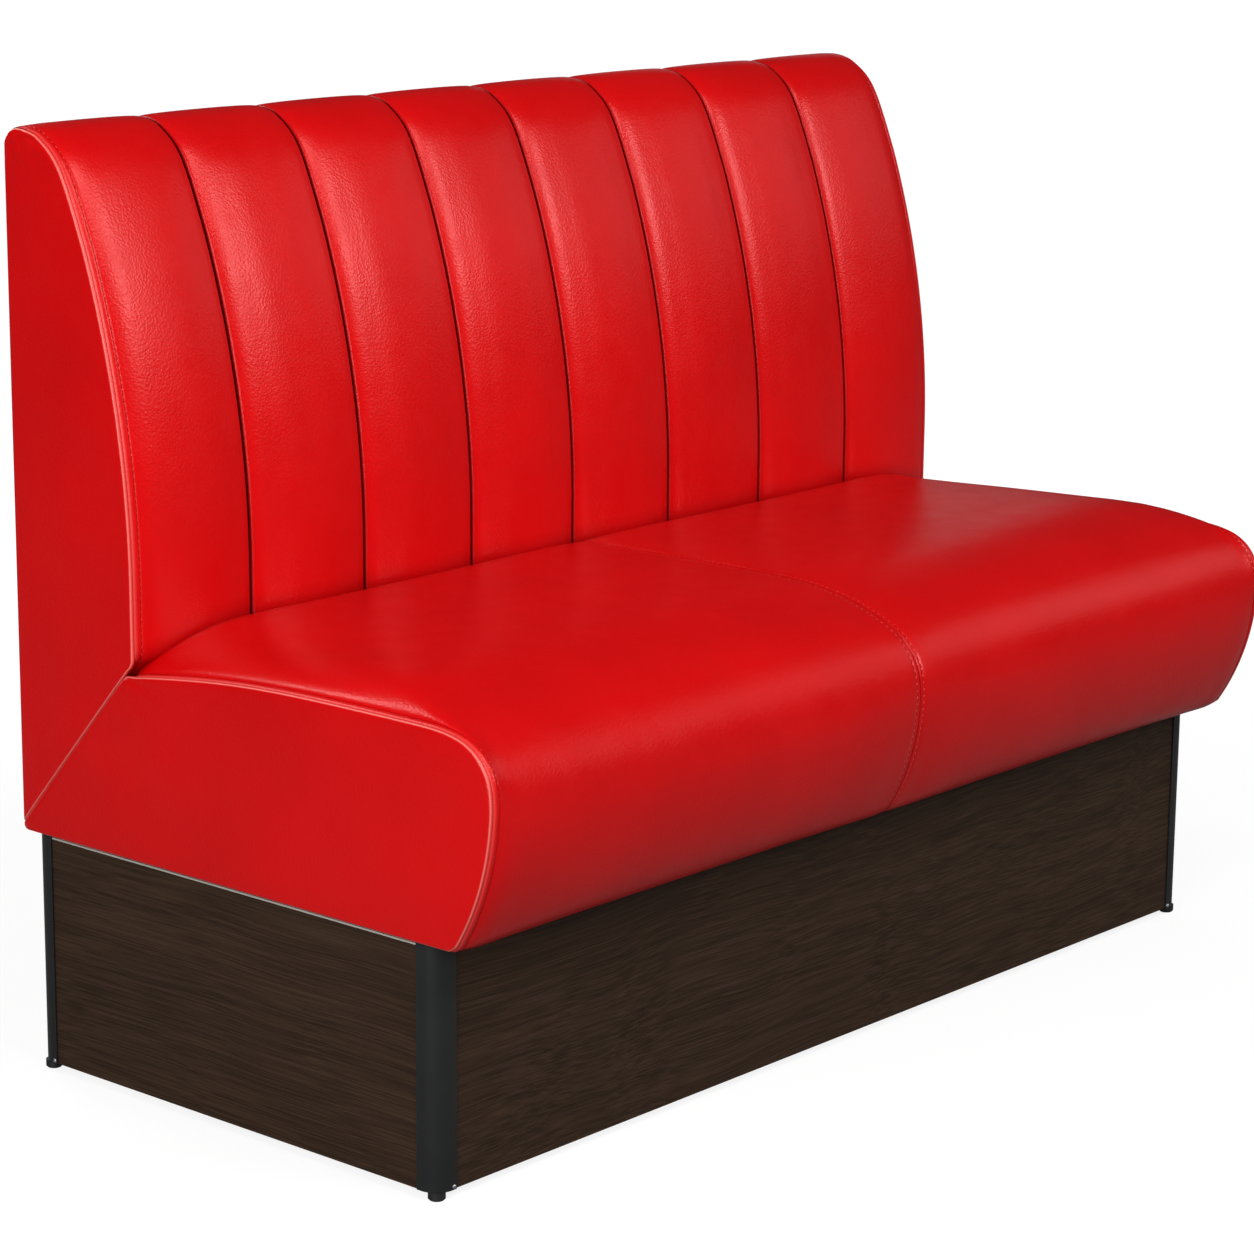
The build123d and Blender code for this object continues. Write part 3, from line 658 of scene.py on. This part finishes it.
# End panels: leatherette over a thin foam pad, sewn in along the cover's edge, so each is flat in its
# middle and rounds off over a few millimetres into the seam.
rim_insets = np.array([0, 0.15, 0.6, 1.4, 2.6, 4.2, 6.5, 10, 20, 40, 80])
rim_places = np.array([597.2, 598.1, 599.0, 599.6, 599.9, 600.1, 600.3, 600.5, 600.9, 601.3, 601.7])
joint_insets = np.array([0, 0.3, 0.8, 1.5, 2.3, 3.4, 6, 10, 20, 30, 31])
joint_places = np.array([598.6, 600.1, 601.1, 601.5, 601.4, 600.9, 600.7, 600.9, 601.5, 602.2, 700])
rim_wall = [(594.2, 2.2), (594.9, 1.1), (595.6, 0.35), (596.3, 0.05)]
loop_spacing = 4.0
lattice_spacing = 9.0
coarse_inset = 9.0
raked_reach = 2.0
crumple_size = 52.0
crumple_depth = 0.7
crumple_ease = 30.0
gather_folds = 11
gather_reach = 26.0
# A painted highlight: a thin pale line painted along each panel's rim.
rim_highlight_share = 0.8
rim_highlight_inset = 0.6
rim_highlight_width = 0.8


def distance_to(points, starts, ends):
    """Distance of each point to the nearest of some straight stretches."""
    best = np.full(len(points), 1e9)
    for a, s in zip(starts, ends - starts):
        t = np.clip(((points - a) @ s) / (s @ s + 1e-12), 0, 1)
        best = np.minimum(best, np.linalg.norm(points - a - t[:, None] * s, axis=1))
    return best


def even_loop(corners, spacing):
    """A closed loop of points about evenly spaced, its corners kept."""
    loop = []
    for start, end in zip(corners, np.roll(corners, -1, 0)):
        count = max(1, int(round(np.linalg.norm(end - start) / spacing)))
        loop += [start + (end - start) * k / count for k in range(count)]
    return np.array(loop)


def inside(points, loop):
    """Which points lie inside a closed loop."""
    ends = np.roll(loop, -1, 0)
    rise = ends[:, 1] - loop[:, 1]
    rise[rise == 0] = 1e-9
    crossed = (loop[:, 1] > points[:, 1:]) != (ends[:, 1] > points[:, 1:])
    meet = loop[:, 0] + (ends[:, 0] - loop[:, 0]) * (points[:, 1:] - loop[:, 1]) / rise
    return (crossed & (points[:, :1] < meet)).sum(1) % 2 == 1


def end_panel(name, corners, side, gather, gather_depth):
    """A closed, domed panel inside its corners, with small folds that run from a gather."""
    loop = even_loop(corners, loop_spacing)
    ends = np.roll(loop, -1, 0)
    count = len(loop)
    normals = outward(np.concatenate([loop[-1:], loop, loop[:1]]))[1:-1]

    # The face: rings that follow the edge, and an even lattice inside them.
    inner = []
    for inset in rim_insets[1:]:
        ring = loop - normals * inset
        ring = ring[distance_to(ring, loop, ends) > inset - 0.08]
        inner.append(ring[:: 1 if inset < coarse_inset else 2])
    low, high = loop.min(0), loop.max(0)
    spread = [np.arange(low[axis], high[axis], lattice_spacing) for axis in (0, 1)]
    lattice = np.stack(np.meshgrid(*spread), -1).reshape(-1, 2)
    lattice = lattice[inside(lattice, loop)]
    gap = distance_to(lattice, loop, ends)
    lattice = lattice[(gap > 14) & (abs(gap - 20) > 3) & (abs(gap - 40) > 3)]
    flat = np.concatenate([loop] + inner + [lattice])
    edges = [(k, (k + 1) % count) for k in range(count)]
    points, _, faces, *_ = delaunay_2d_cdt([Vector(p) for p in flat], edges, [], 1, 1e-5)
    points = np.array([tuple(p) for p in points])

    # How far it stands out: it rounds off into the seam, and tighter into the raked joint.
    raked = abs(loop[:, 1] - rake_z(loop[:, 0])) < raked_reach
    jointed = raked & np.roll(raked, -1)
    sewn = np.interp(distance_to(points, loop[~jointed], ends[~jointed]), rim_insets, rim_places)
    butted = np.interp(distance_to(points, loop[jointed], ends[jointed]), joint_insets, joint_places)
    from_edge = distance_to(points, loop, ends)
    waver = np.array([noise.noise(Vector((p[0], p[1], 40.0 * side)) / crumple_size) for p in points])
    ease = np.clip(from_edge / crumple_ease, 0, 1)
    from_gather = points - np.array(gather)
    reach = np.linalg.norm(from_gather, axis=1)
    pleats = np.sin(gather_folds * np.arctan2(from_gather[:, 1], from_gather[:, 0]))
    pleats *= np.exp(-reach / gather_reach)
    folds = pleats * np.clip(reach / 14, 0, 1) * np.clip(from_edge / 5, 0, 1)
    stand = np.minimum(sewn, butted) + crumple_depth * waver * ease + gather_depth * folds

    # The wall behind the seam and the closed back.
    rings = [np.c_[np.full(count, x), loop - normals * inset] for x, inset in rim_wall]
    places = np.concatenate([np.c_[stand, points]] + rings)
    quads = []
    outer = 0
    for k in reversed(range(len(rings))):
        inner_start = len(points) + k * count
        for i in range(count):
            j = (i + 1) % count
            quads.append((outer + i, outer + j, inner_start + j, inner_start + i))
        outer = inner_start
    quads.append([outer + i for i in range(count)])
    places[:, 0] *= side
    mesh = bpy.data.meshes.new(name)
    mesh.from_pydata((places * MM).tolist(), [], [list(f) for f in faces] + quads)
    shape = bmesh.new()
    shape.from_mesh(mesh)
    bmesh.ops.recalc_face_normals(shape, faces=shape.faces)
    shape.to_mesh(mesh)
    shape.free()

    # Painted shade on the wall behind the seam.
    painted_shade_values = np.r_[np.zeros(len(points)), np.repeat([1, 0.6, 0.2, 0], count)]
    # Painted highlight along the rim.
    rim_highlight = rim_highlight_share * np.clip(1 - abs(from_edge - rim_highlight_inset) / rim_highlight_width, 0, 1)
    painted_highlight_values = np.r_[rim_highlight, np.zeros(len(rings) * count)]
    for mark, values in (("seam", painted_shade_values), ("edge", painted_highlight_values)):
        attribute = mesh.attributes.new(mark, "FLOAT", "POINT")
        attribute.data.foreach_set("value", values.astype(np.float32))
    mesh.shade_smooth()
    mesh.materials.append(leatherette)
    piece = bpy.data.objects.new(name, mesh)
    scene.collection.objects.link(piece)
    return piece


face_line = side_points - side_normals * (side_share * side_seam_inset)[:, None]
face_line = face_line[side_points[:, 1] > rake_z(back_face_y) + 6]
foot_y = back_face_y + side_seam_inset
back_panel_line = np.concatenate(
    [
        [
            (foot_y + 3, rake_z(foot_y + 3) + 0.5),
            (foot_y + 0.6, rake_z(foot_y) + 1.4),
            (foot_y, rake_z(foot_y) + 5),
        ],
        face_line[(face_line[:, 1] > rake_z(foot_y) + 12) & (face_line[:, 0] < rear_y - 0.2)],
        [
            (rear_y, 880.0),
            (rear_y, rake_heel + 7),
            (rear_y - 0.3, rake_heel + 1.6),
            (rear_y - 2, rake_z(rear_y - 2) + 0.5),
        ],
    ]
)
back_gather = (rear_y - 20, bench_top - 8)
back_gather_depth = 1.9
for side, end in ((-1, "left"), (1, "right")):
    panel = end_panel(
        "back_end_panel_" + end, back_panel_line, side, back_gather, back_gather_depth
    )
    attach(panel, "root")
    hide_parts("back_side_panel_" + end, "back_side_foam_" + end)

seat_edge = seat_side(1.0)[5:]
top_edge = seat_edge[(seat_edge[:, 1] > plinth_top + 5)]
crease_end = 155.5
seat_panel_line = np.concatenate(
    [
        [(nose_y + 51, plinth_top + 0.3), (nose_y + 46.5, plinth_top + 2.5)],
        top_edge[top_edge[:, 0] < crease_end - 8],
        [
            (crease_end - 2, rake_z(crease_end) + 1.4),
            (crease_end + 3, rake_z(crease_end + 3) - 0.5),
            (rear_y - 2, rake_z(rear_y - 2) - 0.5),
            (rear_y - 0.4, rake_heel - 1.0),
            (rear_y - 0.8, plinth_top + 3.8),
            (rear_y - 3, plinth_top + 1.2),
            (rear_y - 7, plinth_top + 0.3),
        ],
    ]
)
seat_gather = (crease_end, rake_z(crease_end))
seat_gather_depth = 1.2
for side, end in ((-1, "left"), (1, "right")):
    panel = end_panel(
        "seat_end_panel_" + end, seat_panel_line, side, seat_gather, seat_gather_depth
    )
    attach(panel, "root")
    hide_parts("seat_side_panel_" + end, "seat_side_foam_" + end)

# Rear sheet: plain leatherette pulled flat over the rear board and stapled behind its folded edges, so
# it turns in a little all round and shows faint waves from the pull.
rear_turn = 3.0
turn_depth = 0.5
turn_steps = [0.0, 1.0, 2.0]
wave_size = 120.0
wave_depth = 0.25
rear_low, rear_high = (np.array(corner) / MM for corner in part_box("back_rear_cover"))
rear_x = np.linspace(rear_low[0], rear_high[0], 121)
rear_z = np.linspace(rear_low[2], rear_high[2], 65)
rear_x = np.unique(np.r_[rear_x, rear_low[0] + turn_steps, rear_high[0] - turn_steps])
rear_z = np.unique(np.r_[rear_z, rear_low[2] + turn_steps, rear_high[2] - turn_steps])
from_side = np.minimum(rear_x - rear_low[0], rear_high[0] - rear_x)[:, None]
from_foot = np.minimum(rear_z - rear_low[2], rear_high[2] - rear_z)[None, :]
inward = np.clip(1 - np.minimum(from_side, from_foot) / rear_turn, 0, 1)
waves = np.array([[noise.noise(Vector((x, 0, z)) / wave_size) for z in rear_z] for x in rear_x])
rear_grid = np.empty((len(rear_x), len(rear_z), 3))
rear_grid[:, :, 0] = rear_x[:, None]
rear_grid[:, :, 1] = rear_high[1] - turn_depth * inward**2
rear_grid[:, :, 1] -= wave_depth * (1 - inward) * (0.5 + 0.5 * waves)
rear_grid[:, :, 2] = rear_z[None, :]
# Painted shade where the sheet turns in at its edges.
rear_sheet = skin_piece("rear_sheet", rear_grid, 0.5 * inward**2, np.zeros(inward.shape))
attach(rear_sheet, "root")
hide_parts("back_rear_cover")


# Plinth boards: chipboard faced with dark wenge laminate, the grain lying level. A thin paler band is
# painted along each top edge as a painted highlight, the light line in the shadow gap under the seat.
# Its satin face is dull.
panel_top = 234.0
highlight_band_height = 1.6
painted_highlight_grey = "b8b2a8"
bend_mm = 210
band_mm = (340, 16)
line_mm = (130, 1.5)
# Pores are drawn a few times as wide as the real ones, so that they show.
pore_mm = (18, 0.9)
pore_depth_mm = 0.08
long_figure = 0.024
side_figure = 0.009


def wenge(name, along, figure):
    """Woodgrain laminate whose grain runs along X (0) or Y (1), waved by a figure in metres."""
    material, tree, shader, place = new_material(name)
    bend = add_node(
        tree, "ShaderNodeTexNoise", {"Vector": place, "Scale": 1000 / bend_mm, "Detail": 1}
    )
    shift = add_node(
        tree, "ShaderNodeVectorMath", {0: bend.outputs["Color"], "Scale": figure}, operation="SCALE"
    )
    warped = add_node(
        tree, "ShaderNodeVectorMath", {0: place, 1: shift.outputs["Vector"]}, operation="ADD"
    )

    def streaks(length_mm, width_mm, detail):
        stretch = [1000 / width_mm] * 3
        stretch[along] = 1000 / length_mm
        scaled = add_node(
            tree, "ShaderNodeMapping", {"Vector": warped.outputs["Vector"], "Scale": stretch}
        )
        drawn = {"Vector": scaled.outputs["Vector"], "Scale": 1, "Detail": detail}
        return add_node(tree, "ShaderNodeTexNoise", drawn).outputs["Fac"]

    band_stops = [(0.3, "2e2119"), (0.52, "36271d"), (0.74, "3e2d22")]
    line_stops = [(0.34, "1f1610"), (0.5, "34261b"), (0.68, "473529")]
    bands = colour_ramp(tree, streaks(*band_mm, 3), band_stops)
    lines = colour_ramp(tree, streaks(*line_mm, 3), line_stops)
    mixed = add_node(tree, "ShaderNodeMix", {"Factor": 0.55, "A": bands, "B": lines}, data_type="RGBA")
    # Painted highlight: the top of each board is painted pale grey.
    height = add_node(tree, "ShaderNodeSeparateXYZ", {"Vector": place}).outputs["Z"]
    painted_highlight_mask = add_node(
        tree, "ShaderNodeMath", {0: height, 1: (panel_top - highlight_band_height) * MM}, operation="GREATER_THAN"
    )
    final = add_node(
        tree,
        "ShaderNodeMix",
        {"Factor": painted_highlight_mask.outputs["Value"], "A": mixed.outputs["Result"], "B": linear(painted_highlight_grey)},
        data_type="RGBA",
    )
    tree.links.new(final.outputs["Result"], shader.inputs["Base Color"])
    pores = streaks(*pore_mm, 2)
    bump = add_node(
        tree, "ShaderNodeBump", {"Height": pores, "Strength": 0.35, "Distance": pore_depth_mm * MM}
    )
    tree.links.new(bump.outputs["Normal"], shader.inputs["Normal"])
    shine = add_node(
        tree,
        "ShaderNodeMapRange",
        {"Value": pores, "From Min": 0.3, "From Max": 0.7, "To Min": 0.5, "To Max": 0.4},
    )
    tree.links.new(shine.outputs["Result"], shader.inputs["Roughness"])
    shader.inputs["Specular IOR Level"].default_value = 0.1
    return material


wenge_long = wenge("wenge_laminate_long", 0, long_figure)
wenge_deep = wenge("wenge_laminate_side", 1, side_figure)
for end in ("front", "rear"):
    frame["nodes"]["plinth_panel_" + end].data.materials[0] = wenge_long
for end in ("left", "right"):
    frame["nodes"]["plinth_panel_" + end].data.materials[0] = wenge_deep

# Corner posts: extruded aluminium profiles, powder coated black and screwed to the boards' ends. The
# baked coat has a faint orange peel, which gives a soft, slightly broken line of light.
peel_mm = 1.4
dust_mm = 60
powder_coat, tree, shader, place = new_material("black_powder_coat")
peel = add_node(tree, "ShaderNodeTexNoise", {"Vector": place, "Scale": 1000 / peel_mm, "Detail": 2})
coat_bump = add_node(
    tree, "ShaderNodeBump", {"Height": peel.outputs["Fac"], "Strength": 0.1, "Distance": 0.1 * MM}
)
dust = add_node(tree, "ShaderNodeTexNoise", {"Vector": place, "Scale": 1000 / dust_mm, "Detail": 4})
coat_colour = colour_ramp(tree, dust.outputs["Fac"], [(0.3, "1a1b1b"), (0.7, "202121")])
tree.links.new(coat_colour, shader.inputs["Base Color"])
tree.links.new(coat_bump.outputs["Normal"], shader.inputs["Normal"])
shader.inputs["Roughness"].default_value = 0.34
shader.inputs["Specular IOR Level"].default_value = 0.35
for corner in ("front_left", "front_right", "rear_left", "rear_right"):
    frame["nodes"]["corner_post_" + corner].data.materials[0] = powder_coat

# Post screws: one small pan head near the foot of each post, on the leg that faces outwards. They are
# zinc-plated steel, which looks pale, clouded and half matt.
cloud_mm = 5
post_half = 587.5
post_front = -227.0
screw_inset = 22.0
screw_height = 11.0
head_width = 4.4
head_rise = 1.5
zinc, tree, shader, place = new_material("zinc_plated_steel")
cloud = add_node(tree, "ShaderNodeTexNoise", {"Vector": place, "Scale": 1000 / cloud_mm, "Detail": 3})
cloudy = add_node(
    tree, "ShaderNodeMapRange", {"Value": cloud.outputs["Fac"], "To Min": 0.3, "To Max": 0.5}
)
tree.links.new(cloudy.outputs["Result"], shader.inputs["Roughness"])
shader.inputs["Base Color"].default_value = linear("b9bbbd")
shader.inputs["Metallic"].default_value = 1
places, facings = [], []
for side in (-1, 1):
    places += [(side * (post_half - screw_inset), post_front, screw_height)]
    facings += [(0, -1, 0)]
    places += [(side * post_half, rear_y - screw_inset, screw_height)]
    facings += [(side, 0, 0)]
points = bpy.data.meshes.new("post_screw_places")
points.from_pydata((np.array(places) * MM).tolist(), [], [])
points.attributes.new("facing", "FLOAT_VECTOR", "POINT").data.foreach_set("vector", np.ravel(facings))
heads, given = open_tree("screw_heads", "Places", ("Width", "Rise"), "Steel", "Heads")
dome = add_node(heads, "GeometryNodeMeshUVSphere", {"Segments": 16, "Rings": 8, "Radius": 0.5})
twice = add_node(heads, "ShaderNodeMath", {0: given["Rise"], 1: 2.0}, operation="MULTIPLY")
head_size = add_node(
    heads,
    "ShaderNodeCombineXYZ",
    {"X": given["Width"], "Y": given["Width"], "Z": twice.outputs["Value"]},
)
facing = add_node(
    heads, "GeometryNodeInputNamedAttribute", {"Name": "facing"}, data_type="FLOAT_VECTOR"
)
turn = add_node(
    heads, "FunctionNodeAlignRotationToVector", {"Vector": facing.outputs["Attribute"]}, axis="Z"
)
laid = add_node(
    heads,
    "GeometryNodeInstanceOnPoints",
    {
        "Points": given["Places"],
        "Instance": dome.outputs["Mesh"],
        "Rotation": turn.outputs["Rotation"],
        "Scale": head_size.outputs["Vector"],
    },
)
close_tree(heads, laid, given["Steel"], "Heads")
head_values = {"Width": head_width * MM, "Rise": head_rise * MM, "Steel": zinc}
post_screws = grow("post_screws", points, heads, head_values)
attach(post_screws, "root")

# Glides: four feet of injection-moulded black polyamide pushed into the posts. The moulded skin is
# faintly mottled and matt.
mottle_mm = 3
moulded, tree, shader, place = new_material("moulded_polyamide")
mottle = add_node(
    tree, "ShaderNodeTexNoise", {"Vector": place, "Scale": 1000 / mottle_mm, "Detail": 3}
)
moulded_colour = colour_ramp(tree, mottle.outputs["Fac"], [(0.3, "141414"), (0.7, "1e1e1e")])
tree.links.new(moulded_colour, shader.inputs["Base Color"])
mould_bump = add_node(
    tree, "ShaderNodeBump", {"Height": mottle.outputs["Fac"], "Strength": 0.2, "Distance": 0.05 * MM}
)
tree.links.new(mould_bump.outputs["Normal"], shader.inputs["Normal"])
shader.inputs["Roughness"].default_value = 0.5
frame["nodes"]["glides"].data.materials[0] = moulded


# Timber inside: sawn and planed spruce rails, birch plywood gables and a pressed hardboard back, seen
# only from below and through the plinth, each with its own grain and colour.
def sawn_wood(name, dark, light, length_mm, width_mm, rough):
    """A plain wood with its grain along X."""
    material, tree, shader, place = new_material(name)
    scaled = add_node(
        tree,
        "ShaderNodeMapping",
        {"Vector": place, "Scale": (1000 / length_mm, 1000 / width_mm, 1000 / width_mm)},
    )
    grain = add_node(
        tree, "ShaderNodeTexNoise", {"Vector": scaled.outputs["Vector"], "Scale": 1, "Detail": 4}
    ).outputs["Fac"]
    tree.links.new(colour_ramp(tree, grain, [(0.3, dark), (0.7, light)]), shader.inputs["Base Color"])
    bump = add_node(tree, "ShaderNodeBump", {"Height": grain, "Strength": 0.3, "Distance": 0.1 * MM})
    tree.links.new(bump.outputs["Normal"], shader.inputs["Normal"])
    shader.inputs["Roughness"].default_value = rough
    return material


spruce = sawn_wood("planed_spruce", "b98d58", "d9b583", 160, 4, 0.6)
birch = sawn_wood("birch_plywood", "b69163", "d0b084", 90, 2.2, 0.55)
hardboard = sawn_wood("pressed_hardboard", "5d4029", "6f4e34", 6, 6, 0.7)
fittings = {"softwood": spruce, "plywood": birch, "hardboard": hardboard}

# Springing and lining: elastic webbing, needled felt and a black spun-bonded cloth under the seat, all
# stapled to its rails. They look matt and black. The weave is drawn much coarser than the real one.
weave_mm = 12
woven, tree, shader, place = new_material("woven_black_cloth")
spread = {"Vector": place, "Scale": 1000 / weave_mm}
warp = add_node(tree, "ShaderNodeTexWave", spread, bands_direction="X")
weft = add_node(tree, "ShaderNodeTexWave", spread, bands_direction="Y")
crossed = add_node(
    tree, "ShaderNodeMath", {0: warp.outputs["Fac"], 1: weft.outputs["Fac"]}, operation="MULTIPLY"
)
woven_colour = colour_ramp(tree, crossed.outputs["Value"], [(0, "121213"), (1, "26262a")])
tree.links.new(woven_colour, shader.inputs["Base Color"])
weave_bump = add_node(
    tree,
    "ShaderNodeBump",
    {"Height": crossed.outputs["Value"], "Strength": 0.5, "Distance": 0.3 * MM},
)
tree.links.new(weave_bump.outputs["Normal"], shader.inputs["Normal"])
shader.inputs["Roughness"].default_value = 0.85
for slot_name in ("webbing", "felt", "lining"):
    fittings[slot_name] = woven

# Bolts, nuts and coach screws: zinc-plated steel, as the post screws are. Each node that is kept and
# stays inside takes the finish of its own slot.
fittings["zinc_steel"] = zinc
slots = {part["node"]: part["material_slot"] for part in frame["record"]["subparts"]}
for node_name, slot_name in slots.items():
    if slot_name in fittings:
        frame["nodes"][node_name].data.materials[0] = fittings[slot_name]

# The stand: a plain pale floor that keeps the soft shadow, in white surroundings. Both are white where
# the camera sees them, and weak in gloss, so that they don't wash the red out.
floor_mesh = bpy.data.meshes.new("floor")
floor_mesh.from_pydata([(-30, -30, 0), (30, -30, 0), (30, 30, 0), (-30, 30, 0)], [], [(0, 1, 2, 3)])
floor = bpy.data.objects.new("floor", floor_mesh)
scene.collection.objects.link(floor)
paint, tree, shader, place = new_material("white_floor_paint")
shader.inputs["Base Color"].default_value = linear("747474")
shader.inputs["Roughness"].default_value = 0.9
shader.inputs["Specular IOR Level"].default_value = 0.1
room_light = 0.2
mirrored_light = 0.03


def seen_light(tree, direct):
    """The strength of a white surround: full where it is looked at, weak in gloss and glass."""
    paths = add_node(tree, "ShaderNodeLightPath").outputs
    mirrored = add_node(
        tree,
        "ShaderNodeMath",
        {0: paths["Is Glossy Ray"], 1: paths["Is Transmission Ray"]},
        operation="MAXIMUM",
    )
    pale = add_node(
        tree, "ShaderNodeMath", {0: mirrored.outputs["Value"], 1: mirrored_light}, operation="MULTIPLY"
    )
    full = add_node(
        tree, "ShaderNodeMath", {0: paths["Is Camera Ray"], 1: direct}, operation="MULTIPLY"
    )
    either = {0: pale.outputs["Value"], 1: full.outputs["Value"]}
    return add_node(tree, "ShaderNodeMath", either, operation="MAXIMUM").outputs["Value"]


from_bench = add_node(tree, "ShaderNodeVectorMath", {0: place}, operation="LENGTH").outputs["Value"]
open_floor = add_node(
    tree,
    "ShaderNodeMapRange",
    {"Value": from_bench, "From Min": 0.9, "From Max": 2.6, "To Min": 0.85, "To Max": 1.0},
    interpolation_type="SMOOTHSTEP",
).outputs["Result"]
shader.inputs["Emission Color"].default_value = (1, 1, 1, 1)
tree.links.new(seen_light(tree, open_floor), shader.inputs["Emission Strength"])
floor_mesh.materials.append(paint)

world = bpy.data.worlds.new("white_room")
scene.world = world
world.use_nodes = True
tree = world.node_tree
tree.nodes.clear()
glossy_ray = add_node(tree, "ShaderNodeLightPath").outputs["Is Glossy Ray"]
unmirrored = add_node(tree, "ShaderNodeMath", {0: 1.0, 1: glossy_ray}, operation="SUBTRACT")
ambient = add_node(
    tree, "ShaderNodeMath", {0: unmirrored.outputs["Value"], 1: room_light}, operation="MULTIPLY"
)
brighter = {0: seen_light(tree, 1.0), 1: ambient.outputs["Value"]}
strength = add_node(tree, "ShaderNodeMath", brighter, operation="MAXIMUM")
room = add_node(
    tree, "ShaderNodeBackground", {"Color": (1, 1, 1, 1), "Strength": strength.outputs["Value"]}
)
add_node(tree, "ShaderNodeOutputWorld", {"Surface": room.outputs["Background"]})


# Lamps: key low on the left, a far one in front on the right for the light lines down the channels,
# one overhead, weak ones on the right, and rim and rear lamps for the top edges and the rear sheet.
def soft_lamp(name, place, aim, width, height, power):
    """A rectangular soft lamp turned towards a point."""
    light = bpy.data.lights.new(name, "AREA")
    light.shape = "RECTANGLE"
    light.size, light.size_y, light.energy = width, height, power
    lamp = bpy.data.objects.new(name, light)
    turn = (Vector(aim) - Vector(place)).to_track_quat("-Z", "Y")
    lamp.matrix_world = Matrix.Translation(place) @ turn.to_matrix().to_4x4()
    scene.collection.objects.link(lamp)


soft_lamp("key", (-3.0, -0.9, 1.25), (0, 0, 0.45), 1.8, 1.7, 71)
soft_lamp("front", (3.1, -7.4, 4.5), (0, 0.1, 0.7), 1.4, 2.8, 272)
soft_lamp("side", (2.6, -1.3, 1.7), (0, 0, 0.6), 1.3, 1.2, 3.5)
soft_lamp("overhead", (-0.6, -1.9, 2.9), (0, 0, 0.4), 1.6, 1.2, 44)
soft_lamp("rim", (-0.9, 2.3, 2.9), (0, 0, 0.5), 0.6, 0.5, 18)
soft_lamp("rear", (0.6, 3.4, 1.5), (0, 0.3, 0.5), 1.6, 1.4, 32)
soft_lamp("low", (3.3, 2.4, 1.25), (0.3, 0, 0.45), 1.1, 0.9, 1.0)
